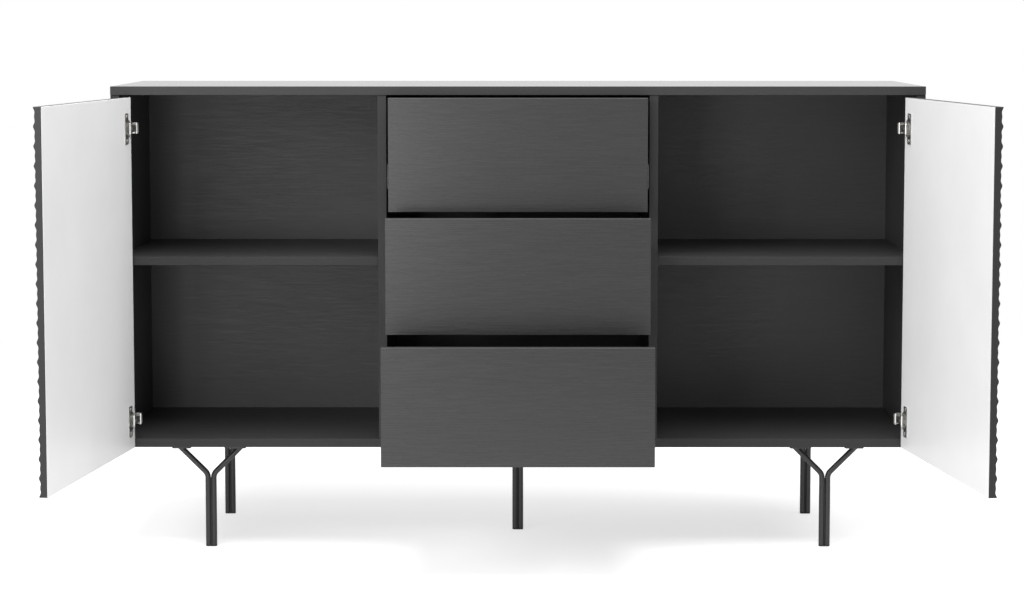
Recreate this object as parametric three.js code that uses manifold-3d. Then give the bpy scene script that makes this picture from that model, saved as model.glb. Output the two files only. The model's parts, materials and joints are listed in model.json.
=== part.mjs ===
// A sideboard on five steel rod legs: two hinged doors with a milled wave front, a shelf
// behind each door, and three drawers on ball slides between them.
// Millimetres. X runs to the viewer's right, Y to the back, Z up. The origin is on the
// floor, under the middle of the centre leg. It is built as it stands in use: both doors
// wide open and the drawers pulled out by different amounts.

import * as THREE from 'three';
import { mergeVertices } from 'three/addons/utils/BufferGeometryUtils.js';
import Module from 'manifold-3d';

const wasm = await Module();
wasm.setup();

// Overall sizes
const WIDTH = 1500;
const DEPTH = 405;
const CARCASS_HEIGHT = 671;
const LEG_HEIGHT = 196;

// Carcass boards
const BOARD = 16;
const TOP_OVERHANG = 2;
const DRAWER_OPENING = 485;
const SHELF_RISE = 340;
const SHELF_SETBACK = 4;
const BACK_THICKNESS = 3;
const BACK_INSET = 24;
const GROOVE_DEPTH = 7;
const DOWEL_RADIUS = 4;
const DOWEL_REACH = 9;
const DOWEL_FROM_EDGE = 60;

// Clearances
const JOINT_GAP = 0.2;
const SEAT_GAP = 0.3;
const PIN_FIT = 0.3;
const OVERRUN = 5;

// Doors
const DOOR_FROM_OPENING = 9;
const DOOR_THICKNESS = 15;
const DOOR_REVEAL = 1.5;
const DOOR_GAP = 1.5;
const DOOR_TOP_GAP = 4;
const DOOR_SWING = THREE.MathUtils.degToRad(98.2);
const WAVE_PITCH = 32.6;
const WAVE_DEPTH = 2.8;
const WAVE_SHARES = [[0, 0], [0.14, 0.55], [0.28, 1], [0.5, 0.72], [0.72, 1], [0.86, 0.55]];

// Concealed hinges
const HINGE_FROM_DOOR_TOP = 57;
const HINGE_FROM_DOOR_BOTTOM = 53;
const LINK_SWING = THREE.MathUtils.degToRad(68);
const CUP_RADIUS = 17.5;
const CUP_SKIN = 1.4;
const CUP_WALL = 1.6;
const CUP_FROM_EDGE = 22;
const FLANGE_FROM_EDGE = 19;
const FLANGE_WIDTH = 15;
const FLANGE_HEIGHT = 57;
const FLANGE_THICKNESS = 0.9;
const KNUCKLE_FROM_EDGE = 18;
const KNUCKLE_STANDOFF = 3.5;
const KNUCKLE_RADIUS = 2.7;
const PIN_RADIUS = 1.3;
const LINK_HALF_HEIGHT = 8.2;
const LINK_THICKNESS = 2.4;
const EAR_THICKNESS = 1.5;
const ARM_PIN_FROM_OUTSIDE = 46.6;
const ARM_SETBACK = 4.6;
const ARM_NOSE_DEPTH = 7;
const ARM_LENGTH = 56;
const ARM_BODY = 13;
const BASE_PLATE_THICKNESS = 2.5;
const BASE_PLATE_HEIGHT = 48;
const BASE_PLATE_START = 24;
const BASE_PLATE_DEPTH = 30;

// Drawers
const DRAWER_SIDE_GAP = 4.5;
const DRAWER_FRONT_GAP = 2.5;
const DRAWER_TOP_GAP = 4.5;
const DRAWER_BOX_LIFT = 14;
const DRAWER_BOX_HEADROOM = 45;
const DRAWER_REAR_GAP = 12;
const DRAWER_WALL = 12;
const DRAWER_BOTTOM_THICKNESS = 3;
const DRAWER_BOTTOM_LIFT = 10;
const DRAWER_GROOVE = 5;
const DRAWER_PULL_SHARES = { bottom: 0.889, middle: 0.434, top: 0.089 };

// Ball slides, three nested steel channels on each side of a drawer
const SLIDE_FROM_DRAWER_FRONT = 1;
const SLIDE_REAR_GAP = 9;
const SLIDE_THICKNESS = 12.4;
const SLIDE_HEIGHT = 45;
const SLIDE_LIFT = 62;
const SLIDE_SHEET = 1.2;
const SLIDE_RUNNING_GAP = 0.4;
const CABINET_LIP = 9;
const MIDDLE_WEB_OFFSET = 4.9;
const MIDDLE_LIP = 5.9;
const DRAWER_LIP = 5.1;

// Legs, each of two round rods welded side by side
const ROD_RADIUS = 5.2;
const ROD_FACETS = 16;
const ROD_GAP = 0.4;
const LEG_FROM_END = 172.4;
const LEG_FROM_EDGE = 46.5;
const BEND_DROP = 58;
const BEND_RADIUS = 18;
const BEND_ANGLE = THREE.MathUtils.degToRad(45);
const BEND_STEPS = 5;
const LEG_PLATE_WIDTH = 35;
const LEG_PLATE_LENGTH = 60;
const LEG_PLATE_THICKNESS = 5;
const LEG_PLATE_RIM = 0.5;
const CENTRE_PLATE_WIDTH = 84;
const WELD_HALF_WIDTH = 1.2;
const WELD_HALF_DEPTH = 1.8;
const WELD_MARGIN = 8;
const GLIDE_THICKNESS = 3;
const GLIDE_CHAMFER = 0.6;

// Facets of round parts
const CUP_FACETS = 32;
const PIN_FACETS = 12;

// Planes that the pieces share, worked out from the sizes above
const FRONT = TOP_OVERHANG - DEPTH / 2;
const REAR = DEPTH / 2;
const BACK_FACE = REAR - BACK_INSET - BACK_THICKNESS;
const TOP_SURFACE = LEG_HEIGHT + CARCASS_HEIGHT;
const CEILING = TOP_SURFACE - BOARD;
const BASE = LEG_HEIGHT + BOARD;
const SIDE_OUTER = WIDTH / 2;
const SIDE_INNER = SIDE_OUTER - BOARD;
const DIVIDER_INNER = DRAWER_OPENING / 2;
const DIVIDER_OUTER = DIVIDER_INNER + BOARD;
const DOOR_OUTER = SIDE_OUTER - DOOR_REVEAL;
const DOOR_BACK = FRONT - DOOR_GAP;
const DOOR_FACE = DOOR_BACK - DOOR_THICKNESS;
const DOOR_TOP = CEILING - DOOR_TOP_GAP;
const DOOR_INNER = DIVIDER_INNER + DOOR_FROM_OPENING;
const LEFT = -1;
const RIGHT = 1;
const SIDES = { left: LEFT, right: RIGHT };

// Finishes
const charcoalBoard = new THREE.MeshStandardMaterial({ color: 0x55555a, roughness: 0.6, metalness: 0 });
const whiteFacedBoard = new THREE.MeshStandardMaterial({ color: 0x6a6a6c, roughness: 0.55, metalness: 0 });
const darkPanel = new THREE.MeshStandardMaterial({ color: 0x3c3c40, roughness: 0.7, metalness: 0 });
const blackSteel = new THREE.MeshStandardMaterial({ color: 0x2b2b2d, roughness: 0.45, metalness: 0.4 });
const blackPlastic = new THREE.MeshStandardMaterial({ color: 0x1c1c1d, roughness: 0.6, metalness: 0 });
const platedSteel = new THREE.MeshStandardMaterial({ color: 0xb9bcc0, roughness: 0.35, metalness: 0.9 });

const sideboard = new THREE.Group();

function addPiece(name, geometry, material, parent = sideboard) {
  const mesh = new THREE.Mesh(geometry, material);
  mesh.name = name;
  parent.add(mesh);
}

// Solids from closed geometry, and back again after joining and cutting

function toSolid(geometry) {
  const bare = geometry.clone();
  bare.deleteAttribute('normal');
  bare.deleteAttribute('uv');
  const merged = mergeVertices(bare);
  const mesh = new wasm.Mesh({
    numProp: 3,
    vertProperties: merged.attributes.position.array,
    triVerts: new Uint32Array(merged.index.array),
  });
  return new wasm.Manifold(mesh);
}

function toGeometry(solid) {
  const mesh = solid.getMesh();
  const geometry = new THREE.BufferGeometry();
  geometry.setAttribute('position', new THREE.BufferAttribute(mesh.vertProperties, 3));
  geometry.setIndex(new THREE.BufferAttribute(mesh.triVerts, 1));
  geometry.computeVertexNormals();
  return geometry;
}

function join(...geometries) {
  const solids = geometries.map(toSolid);
  return toGeometry(solids.reduce((sum, solid) => sum.add(solid)));
}

function cut(geometry, ...tools) {
  const start = toSolid(geometry);
  return toGeometry(tools.reduce((rest, tool) => rest.subtract(toSolid(tool)), start));
}

// Basic forms, each given by the spans or points that it fills

function block(xs, ys, zs) {
  const spans = [xs, ys, zs];
  const sizes = spans.map(([from, to]) => Math.abs(to - from));
  const middles = spans.map(([from, to]) => (from + to) / 2);
  const geometry = new THREE.BoxGeometry(...sizes);
  geometry.translate(...middles);
  return geometry;
}

function onSide(side, span) {
  return span.map((distance) => side * distance);
}

function uprightCylinder(radius, [x, y], [low, high], facets = PIN_FACETS) {
  const geometry = new THREE.CylinderGeometry(radius, radius, high - low, facets);
  geometry.rotateX(Math.PI / 2);
  geometry.translate(x, y, (low + high) / 2);
  return geometry;
}

function crosswiseCylinder(radius, [from, to], [y, z], facets = PIN_FACETS) {
  const geometry = new THREE.CylinderGeometry(radius, radius, Math.abs(to - from), facets);
  geometry.rotateZ(Math.PI / 2);
  geometry.translate((from + to) / 2, y, z);
  return geometry;
}

function outline(points) {
  return new THREE.Shape(points.map(([a, b]) => new THREE.Vector2(a, b)));
}

// An outline in X and Y, raised from one height to another
function uprightPrism(points, [low, high]) {
  const geometry = new THREE.ExtrudeGeometry(outline(points), { depth: high - low, bevelEnabled: false });
  geometry.translate(0, 0, low);
  return geometry;
}

// An outline in Y and Z, drawn out along X
function crosswisePrism(points, [from, to]) {
  const geometry = new THREE.ExtrudeGeometry(outline(points), { depth: to - from, bevelEnabled: false });
  const turn = new THREE.Matrix4().makeBasis(
    new THREE.Vector3(0, 1, 0), new THREE.Vector3(0, 0, 1), new THREE.Vector3(1, 0, 0));
  geometry.applyMatrix4(turn);
  geometry.translate(from, 0, 0);
  return geometry;
}

// An outline in X and Z, drawn out along Y
function lengthwisePrism(points, [front, rear]) {
  const geometry = new THREE.ExtrudeGeometry(outline(points), { depth: rear - front, bevelEnabled: false });
  geometry.rotateX(Math.PI / 2);
  geometry.translate(0, rear, 0);
  return geometry;
}

// Carcass: boards, shelves and a thin back panel that sits in grooves round its edge

const GROOVE = [BACK_FACE - JOINT_GAP, BACK_FACE + BACK_THICKNESS + JOINT_GAP];

function buildTopBoard() {
  const board = block([-SIDE_OUTER, SIDE_OUTER], [-REAR, REAR], [CEILING, TOP_SURFACE]);
  const grooveEnd = SIDE_INNER + GROOVE_DEPTH;
  const groove = block([-grooveEnd, grooveEnd], GROOVE, [CEILING - OVERRUN, CEILING + GROOVE_DEPTH]);
  addPiece('top_board', cut(board, groove), charcoalBoard);
}

function buildBottomBoard() {
  const end = SIDE_INNER - JOINT_GAP;
  const board = block([-end, end], [FRONT, REAR], [LEG_HEIGHT, BASE]);
  const groove = block([-end - OVERRUN, end + OVERRUN], GROOVE, [BASE - GROOVE_DEPTH, BASE + OVERRUN]);
  addPiece('bottom_board', cut(board, groove), charcoalBoard);
}

function buildBackPanel() {
  const end = SIDE_INNER + GROOVE_DEPTH - JOINT_GAP;
  const low = BASE - GROOVE_DEPTH + JOINT_GAP;
  const high = CEILING + GROOVE_DEPTH - JOINT_GAP;
  const panel = block([-end, end], [BACK_FACE, BACK_FACE + BACK_THICKNESS], [low, high]);
  addPiece('back_panel', panel, darkPanel);
}

const SHELF_TOP = BASE + SHELF_RISE;
const SHELF_MIDDLE = SHELF_TOP - BOARD / 2;
const SHELF_FRONT = FRONT + SHELF_SETBACK;
const DOWEL_PLACES = [SHELF_FRONT + DOWEL_FROM_EDGE, BACK_FACE - DOWEL_FROM_EDGE];

// The holes that take a shelf's dowels, from one face of a side panel or divider
function dowelHoles(side, face, direction) {
  const end = face + direction * (DOWEL_REACH + PIN_FIT);
  const start = face - direction * OVERRUN;
  const span = onSide(side, [start, end]);
  return DOWEL_PLACES.map((y) =>
    crosswiseCylinder(DOWEL_RADIUS + PIN_FIT, span, [y, SHELF_MIDDLE]));
}

function buildSidePanel(name, side) {
  const board = block(onSide(side, [SIDE_INNER, SIDE_OUTER]), [FRONT, REAR], [LEG_HEIGHT, CEILING - JOINT_GAP]);
  const grooveSpan = onSide(side, [SIDE_INNER - OVERRUN, SIDE_INNER + GROOVE_DEPTH]);
  const groove = block(grooveSpan, GROOVE, [BASE - GROOVE_DEPTH, CEILING + OVERRUN]);
  addPiece(`${name}_side_panel`, cut(board, groove, ...dowelHoles(side, SIDE_INNER, 1)), charcoalBoard);
}

function buildDivider(name, side) {
  const depth = [FRONT, BACK_FACE - JOINT_GAP];
  const height = [BASE + JOINT_GAP, CEILING - JOINT_GAP];
  const board = block(onSide(side, [DIVIDER_INNER, DIVIDER_OUTER]), depth, height);
  addPiece(`${name}_divider`, cut(board, ...dowelHoles(side, DIVIDER_OUTER, -1)), charcoalBoard);
}

// Each shelf carries two dowels at each end
function buildShelf(name, side) {
  const inner = DIVIDER_OUTER + JOINT_GAP;
  const outer = SIDE_INNER - JOINT_GAP;
  const height = [SHELF_TOP - BOARD, SHELF_TOP];
  const board = block(onSide(side, [inner, outer]), [SHELF_FRONT, BACK_FACE - JOINT_GAP], height);
  const reach = onSide(side, [inner - DOWEL_REACH, outer + DOWEL_REACH]);
  const dowels = DOWEL_PLACES.map((y) => crosswiseCylinder(DOWEL_RADIUS, reach, [y, SHELF_MIDDLE]));
  addPiece(`${name}_shelf`, join(board, ...dowels), charcoalBoard);
}

// Legs: each of the four outer ones is a pair of rods that bend apart to two plates

// A rod's centre line, with a station at each place where its section is drawn
class RodPath extends THREE.Curve {
  constructor(stations) {
    super();
    this.stations = stations;
  }

  getPointAt(share, target = new THREE.Vector3()) {
    const place = share * (this.stations.length - 1);
    const index = Math.min(Math.floor(place), this.stations.length - 2);
    return target.lerpVectors(this.stations[index], this.stations[index + 1], place - index);
  }

  getPoint(share, target) {
    return this.getPointAt(share, target);
  }

  getTangentAt(share, target = new THREE.Vector3()) {
    const place = Math.round(share * (this.stations.length - 1));
    const before = this.stations[Math.max(place - 1, 0)];
    const after = this.stations[Math.min(place + 1, this.stations.length - 1)];
    return target.subVectors(after, before).normalize();
  }
}

function sweepRod(stations) {
  const section = new THREE.Shape();
  section.absarc(0, 0, ROD_RADIUS, 0, 2 * Math.PI);
  return new THREE.ExtrudeGeometry(section, {
    steps: stations.length - 1,
    curveSegments: ROD_FACETS,
    extrudePath: new RodPath(stations),
  });
}

const BEND_HEIGHT = LEG_HEIGHT - BEND_DROP;
const PLATE_UNDERSIDE = LEG_HEIGHT - LEG_PLATE_THICKNESS;
const PLATE_SPAN_Y = [-LEG_PLATE_LENGTH / 2, LEG_PLATE_LENGTH / 2];
const PLATE_SPAN_Z = [PLATE_UNDERSIDE, LEG_HEIGHT - JOINT_GAP];
const ROD_OFFSET = ROD_RADIUS + ROD_GAP / 2;
const ROD_FOOT = GLIDE_THICKNESS + JOINT_GAP;
const ROD_HEAD = PLATE_UNDERSIDE + LEG_PLATE_THICKNESS / 2;
const HEAD_REACH = ROD_OFFSET + (ROD_HEAD - BEND_HEIGHT) * Math.tan(BEND_ANGLE);
const PLATE_OUTER = HEAD_REACH + ROD_RADIUS / Math.cos(BEND_ANGLE) + LEG_PLATE_RIM;
const PLATE_INNER = PLATE_OUTER - LEG_PLATE_WIDTH;

// Straight up, round the bend, then out to the plate, in the plane of the leg
function bentRodStations(outward) {
  const tangentLength = BEND_RADIUS * Math.tan(BEND_ANGLE / 2);
  const bendStart = BEND_HEIGHT - tangentLength;
  const stations = [new THREE.Vector3(outward * ROD_OFFSET, 0, ROD_FOOT)];
  for (let step = 0; step <= BEND_STEPS; step += 1) {
    const angle = BEND_ANGLE * step / BEND_STEPS;
    const across = ROD_OFFSET + BEND_RADIUS * (1 - Math.cos(angle));
    stations.push(new THREE.Vector3(outward * across, 0, bendStart + BEND_RADIUS * Math.sin(angle)));
  }
  const end = ROD_HEAD + ROD_RADIUS;
  const run = (end - BEND_HEIGHT) * Math.tan(BEND_ANGLE);
  stations.push(new THREE.Vector3(outward * (ROD_OFFSET + run), 0, end));
  return stations;
}

// A bent rod, sawn off level inside the thickness of its plate
function bentRodGeometry(outward) {
  const reach = PLATE_OUTER + OVERRUN;
  const waste = block([-reach, reach], PLATE_SPAN_Y, [ROD_HEAD, ROD_HEAD + reach]);
  return cut(sweepRod(bentRodStations(outward)), waste);
}

function weldSeam(high) {
  const depth = [-WELD_HALF_DEPTH, WELD_HALF_DEPTH];
  return block([-WELD_HALF_WIDTH, WELD_HALF_WIDTH], depth, [ROD_FOOT + WELD_MARGIN, high - WELD_MARGIN]);
}

function outerLegGeometry() {
  const parts = [weldSeam(BEND_HEIGHT)];
  for (const outward of [LEFT, RIGHT]) {
    parts.push(bentRodGeometry(outward));
    parts.push(block(onSide(outward, [PLATE_INNER, PLATE_OUTER]), PLATE_SPAN_Y, PLATE_SPAN_Z));
  }
  return join(...parts);
}

function centreLegGeometry() {
  const parts = [weldSeam(PLATE_UNDERSIDE)];
  parts.push(block([-CENTRE_PLATE_WIDTH / 2, CENTRE_PLATE_WIDTH / 2], PLATE_SPAN_Y, PLATE_SPAN_Z));
  for (const outward of [LEFT, RIGHT]) {
    const place = [outward * ROD_OFFSET, 0];
    parts.push(uprightCylinder(ROD_RADIUS, place, [ROD_FOOT, ROD_HEAD], ROD_FACETS));
  }
  return join(...parts);
}

// A plastic glide under the two rods, with round ends and a chamfered lower edge
function glideGeometry() {
  const shape = new THREE.Shape();
  const end = ROD_RADIUS - GLIDE_CHAMFER;
  shape.absarc(ROD_OFFSET, 0, end, -Math.PI / 2, Math.PI / 2);
  shape.absarc(-ROD_OFFSET, 0, end, Math.PI / 2, 3 * Math.PI / 2);
  const geometry = new THREE.ExtrudeGeometry(shape, {
    depth: GLIDE_THICKNESS - 2 * GLIDE_CHAMFER,
    curveSegments: ROD_FACETS / 2,
    bevelThickness: GLIDE_CHAMFER,
    bevelSize: GLIDE_CHAMFER,
    bevelSegments: 1,
  });
  geometry.translate(0, 0, GLIDE_CHAMFER);
  return geometry;
}

function buildLeg(name, geometry, x, y) {
  const leg = new THREE.Group();
  leg.position.set(x, y, 0);
  sideboard.add(leg);
  addPiece(`${name}_leg`, geometry, blackSteel, leg);
  addPiece(`${name}_glide`, glideGeometry(), blackPlastic, leg);
}

function buildLegs() {
  const rows = { front: LEG_FROM_EDGE - DEPTH / 2, back: DEPTH / 2 - LEG_FROM_EDGE };
  for (const [rowName, y] of Object.entries(rows)) {
    for (const [sideName, side] of Object.entries(SIDES)) {
      buildLeg(`${rowName}_${sideName}`, outerLegGeometry(), side * (SIDE_OUTER - LEG_FROM_END), y);
    }
  }
  buildLeg('centre', centreLegGeometry(), 0, 0);
}

// Doors: a board with a wave milled across its front, bored for two hinge cups

const DOOR_HEIGHT = DOOR_TOP - LEG_HEIGHT;
const WAVE_COUNT = Math.max(1, Math.round(DOOR_HEIGHT / WAVE_PITCH));
const HINGE_HEIGHTS = { upper: DOOR_TOP - HINGE_FROM_DOOR_TOP, lower: LEG_HEIGHT + HINGE_FROM_DOOR_BOTTOM };
const CUP_CENTRE_X = DOOR_OUTER - CUP_FROM_EDGE;
const CUP_DEPTH = DOOR_THICKNESS - WAVE_DEPTH - CUP_SKIN - SEAT_GAP;

function doorOutline() {
  const pitch = DOOR_HEIGHT / WAVE_COUNT;
  const points = [[DOOR_BACK, DOOR_TOP], [DOOR_BACK, LEG_HEIGHT]];
  for (let wave = 0; wave < WAVE_COUNT; wave += 1) {
    for (const [alongShare, depthShare] of WAVE_SHARES) {
      points.push([DOOR_FACE + WAVE_DEPTH * depthShare, LEG_HEIGHT + pitch * (wave + alongShare)]);
    }
  }
  points.push([DOOR_FACE, DOOR_TOP]);
  return points;
}

// A cylinder whose axis is square to the closed door
function cupCylinder(radius, [front, rear], [x, z]) {
  const geometry = new THREE.CylinderGeometry(radius, radius, rear - front, CUP_FACETS);
  geometry.translate(x, (front + rear) / 2, z);
  return geometry;
}

function doorGeometry(side) {
  const span = onSide(side, [DOOR_OUTER, DOOR_INNER]).sort((a, b) => a - b);
  const board = crosswisePrism(doorOutline(), span);
  const boreSpan = [DOOR_BACK - CUP_DEPTH - SEAT_GAP, DOOR_BACK + OVERRUN];
  const bores = Object.values(HINGE_HEIGHTS).map((height) =>
    cupCylinder(CUP_RADIUS + SEAT_GAP, boreSpan, [side * CUP_CENTRE_X, height]));
  return cut(board, ...bores);
}

// Hinges, drawn closed on the left side at height zero. Each has an arm screwed to the
// side panel, a link that folds on the arm's pin, and a cup let into the door, whose pin
// carries the link's other end.

const ARM_PIN = [ARM_PIN_FROM_OUTSIDE - SIDE_OUTER, FRONT + ARM_SETBACK];
const CUP_PIN = [KNUCKLE_FROM_EDGE - DOOR_OUTER, DOOR_BACK + KNUCKLE_STANDOFF];
const EAR_INNER = LINK_HALF_HEIGHT + PIN_FIT;
const EAR_OUTER = EAR_INNER + EAR_THICKNESS;
const EAR_RADIUS = KNUCKLE_RADIUS;

function earPair(makeEar) {
  return [makeEar([EAR_INNER, EAR_OUTER]), makeEar([-EAR_OUTER, -EAR_INNER])];
}

function linkGeometry() {
  const knuckleSpan = [-LINK_HALF_HEIGHT, LINK_HALF_HEIGHT];
  const run = [CUP_PIN[0] - ARM_PIN[0], CUP_PIN[1] - ARM_PIN[1]];
  const plate = new THREE.BoxGeometry(Math.hypot(...run), LINK_THICKNESS, 2 * LINK_HALF_HEIGHT);
  plate.rotateZ(Math.atan2(run[1], run[0]));
  plate.translate((CUP_PIN[0] + ARM_PIN[0]) / 2, (CUP_PIN[1] + ARM_PIN[1]) / 2, 0);
  const knuckles = [ARM_PIN, CUP_PIN].map((place) => uprightCylinder(KNUCKLE_RADIUS, place, knuckleSpan));
  const boreSpan = [-LINK_HALF_HEIGHT - OVERRUN, LINK_HALF_HEIGHT + OVERRUN];
  const bores = [ARM_PIN, CUP_PIN].map((place) => uprightCylinder(PIN_RADIUS + PIN_FIT, place, boreSpan));
  return cut(join(plate, ...knuckles), ...bores);
}

function armGeometry() {
  const seat = JOINT_GAP - SIDE_INNER;
  const nose = ARM_PIN[0] + EAR_RADIUS;
  const noseFront = ARM_PIN[1] + KNUCKLE_RADIUS + PIN_FIT + LINK_THICKNESS / 2;
  const noseRear = noseFront + ARM_NOSE_DEPTH;
  const bodyFace = seat + ARM_BODY;
  const plateFront = FRONT + BASE_PLATE_START;
  const armRear = noseFront + ARM_LENGTH;
  const profile = [
    [seat, plateFront], [bodyFace, noseFront], [nose, noseFront], [nose, noseRear],
    [bodyFace, plateFront + ARM_BODY], [bodyFace, armRear], [seat, armRear],
  ];
  const body = uprightPrism(profile, [-EAR_OUTER, EAR_OUTER]);
  const plateHeight = [-BASE_PLATE_HEIGHT / 2, BASE_PLATE_HEIGHT / 2];
  const plateDepth = [plateFront, plateFront + BASE_PLATE_DEPTH];
  const plate = block([seat, seat + BASE_PLATE_THICKNESS], plateDepth, plateHeight);
  const ears = earPair((height) => join(
    uprightCylinder(EAR_RADIUS, ARM_PIN, height),
    block([ARM_PIN[0] - EAR_RADIUS, nose], [ARM_PIN[1], noseFront + OVERRUN], height)));
  const pin = uprightCylinder(PIN_RADIUS, ARM_PIN, [-EAR_OUTER, EAR_OUTER]);
  return join(body, plate, ...ears, pin);
}

function cupGeometry() {
  const centre = [-CUP_CENTRE_X, 0];
  const rim = DOOR_BACK + SEAT_GAP + FLANGE_THICKNESS;
  const bowl = cupCylinder(CUP_RADIUS, [DOOR_BACK - CUP_DEPTH, rim], centre);
  const flangeStart = FLANGE_FROM_EDGE - DOOR_OUTER;
  const flangeHeight = [-FLANGE_HEIGHT / 2, FLANGE_HEIGHT / 2];
  const flange = block([flangeStart, flangeStart + FLANGE_WIDTH], [DOOR_BACK + SEAT_GAP, rim], flangeHeight);
  const cupFloor = DOOR_BACK - CUP_DEPTH + CUP_WALL;
  const hollow = cupCylinder(CUP_RADIUS - CUP_WALL, [cupFloor, rim + OVERRUN], centre);
  const ears = earPair((height) => join(
    uprightCylinder(EAR_RADIUS, CUP_PIN, height),
    block([CUP_PIN[0] - EAR_RADIUS, CUP_PIN[0] + EAR_RADIUS], [cupFloor - CUP_WALL / 2, CUP_PIN[1]], height)));
  const pin = uprightCylinder(PIN_RADIUS, CUP_PIN, [-EAR_OUTER, EAR_OUTER]);
  return join(cut(join(bowl, flange), hollow), ...ears, pin);
}

// A hinge part drawn for the left side, turned over for the right and set at its height
function placeHingePart(geometry, side, height) {
  if (side === RIGHT) {
    geometry.rotateY(Math.PI);
  }
  geometry.translate(0, 0, height);
  return geometry;
}

// A group that turns what is drawn closed, so that its own pivot lands on the open one
function swungGroup(closedPivot, openPivot, angle) {
  const group = new THREE.Group();
  const carried = new THREE.Vector2(...closedPivot).rotateAround(new THREE.Vector2(), angle);
  group.rotation.z = angle;
  group.position.set(openPivot[0] - carried.x, openPivot[1] - carried.y, 0);
  sideboard.add(group);
  return group;
}

function mirrored([x, y], side) {
  return [-side * x, y];
}

// Where a door's hinge pin stands once its links have swung out
function openCupPin() {
  const centre = new THREE.Vector2(...ARM_PIN);
  const swung = new THREE.Vector2(...CUP_PIN).rotateAround(centre, LINK_SWING);
  return [swung.x, swung.y];
}

function buildDoor(name, side) {
  const armPin = mirrored(ARM_PIN, side);
  const cupPin = mirrored(CUP_PIN, side);
  const linkGroup = swungGroup(armPin, armPin, -side * LINK_SWING);
  const doorGroup = swungGroup(cupPin, mirrored(openCupPin(), side), side * DOOR_SWING);
  addPiece(`${name}_door`, doorGeometry(side), whiteFacedBoard, doorGroup);
  for (const [level, height] of Object.entries(HINGE_HEIGHTS)) {
    const hinge = `${name}_${level}_hinge`;
    addPiece(`${hinge}_arm`, placeHingePart(armGeometry(), side, height), platedSteel);
    addPiece(`${hinge}_link`, placeHingePart(linkGeometry(), side, height), platedSteel, linkGroup);
    addPiece(`${hinge}_cup`, placeHingePart(cupGeometry(), side, height), platedSteel, doorGroup);
  }
}

// Drawers, drawn closed and then pulled out

const BOX_OUTER = DIVIDER_INNER - SLIDE_THICKNESS - 2 * SEAT_GAP;
const BOX_INNER = BOX_OUTER - DRAWER_WALL;
const BOX_FRONT = FRONT + BOARD + JOINT_GAP;
const BOX_REAR = BACK_FACE - DRAWER_REAR_GAP;
const SLIDE_SPAN = [FRONT + BOARD + SLIDE_FROM_DRAWER_FRONT, BACK_FACE - SLIDE_REAR_GAP];
const SLIDE_LENGTH = SLIDE_SPAN[1] - SLIDE_SPAN[0];
const DRAWER_NAMES = Object.keys(DRAWER_PULL_SHARES);
const FRONTS_TOTAL = CEILING - BASE - DRAWER_TOP_GAP - DRAWER_NAMES.length * DRAWER_FRONT_GAP;
const DRAWER_FRONT_HEIGHT = FRONTS_TOTAL / DRAWER_NAMES.length;

function drawerBottomSpan(frontLow, clearance) {
  const low = frontLow + DRAWER_BOX_LIFT + DRAWER_BOTTOM_LIFT;
  return [low - clearance, low + DRAWER_BOTTOM_THICKNESS + clearance];
}

function drawerFrontGeometry(low) {
  const half = DIVIDER_INNER - DRAWER_SIDE_GAP;
  const front = block([-half, half], [FRONT, FRONT + BOARD], [low, low + DRAWER_FRONT_HEIGHT]);
  const end = BOX_INNER + DRAWER_GROOVE;
  const depth = [FRONT + BOARD - DRAWER_GROOVE, FRONT + BOARD + OVERRUN];
  return cut(front, block([-end, end], depth, drawerBottomSpan(low, JOINT_GAP)));
}

// Two side walls and the rear wall, folded from one board
function drawerSurroundGeometry(low) {
  const points = [
    [-BOX_OUTER, BOX_FRONT], [-BOX_INNER, BOX_FRONT], [-BOX_INNER, BOX_REAR - DRAWER_WALL],
    [BOX_INNER, BOX_REAR - DRAWER_WALL], [BOX_INNER, BOX_FRONT], [BOX_OUTER, BOX_FRONT],
    [BOX_OUTER, BOX_REAR], [-BOX_OUTER, BOX_REAR],
  ];
  const boxLow = low + DRAWER_BOX_LIFT;
  const boxHigh = low + DRAWER_FRONT_HEIGHT - DRAWER_BOX_HEADROOM;
  const walls = uprightPrism(points, [boxLow, boxHigh]);
  const end = BOX_INNER + DRAWER_GROOVE;
  const depth = [BOX_FRONT - OVERRUN, BOX_REAR - DRAWER_WALL + DRAWER_GROOVE];
  return cut(walls, block([-end, end], depth, drawerBottomSpan(low, JOINT_GAP)));
}

function drawerBottomGeometry(low) {
  const end = BOX_INNER + DRAWER_GROOVE - JOINT_GAP;
  const front = FRONT + BOARD - DRAWER_GROOVE + JOINT_GAP;
  const rear = BOX_REAR - DRAWER_WALL + DRAWER_GROOVE - JOINT_GAP;
  return block([-end, end], [front, rear], drawerBottomSpan(low, 0));
}

// A channel drawn from its web, with a lip along each long edge
function channel(side, web, lipEnd, halfHeight, height) {
  const inside = halfHeight - SLIDE_SHEET;
  const direction = Math.sign(lipEnd - web);
  const points = [
    [web, -halfHeight], [lipEnd, -halfHeight], [lipEnd, -inside],
    [web + direction * SLIDE_SHEET, -inside], [web + direction * SLIDE_SHEET, inside],
    [lipEnd, inside], [lipEnd, halfHeight], [web, halfHeight],
  ].map(([x, z]) => [side * (DIVIDER_INNER - SEAT_GAP - x), height + z]);
  return lengthwisePrism(points, SLIDE_SPAN);
}

const CABINET_HALF = SLIDE_HEIGHT / 2;
const MIDDLE_HALF = CABINET_HALF - SLIDE_SHEET - SLIDE_RUNNING_GAP;
const DRAWER_HALF = MIDDLE_HALF - SLIDE_SHEET - SLIDE_RUNNING_GAP;

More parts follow.
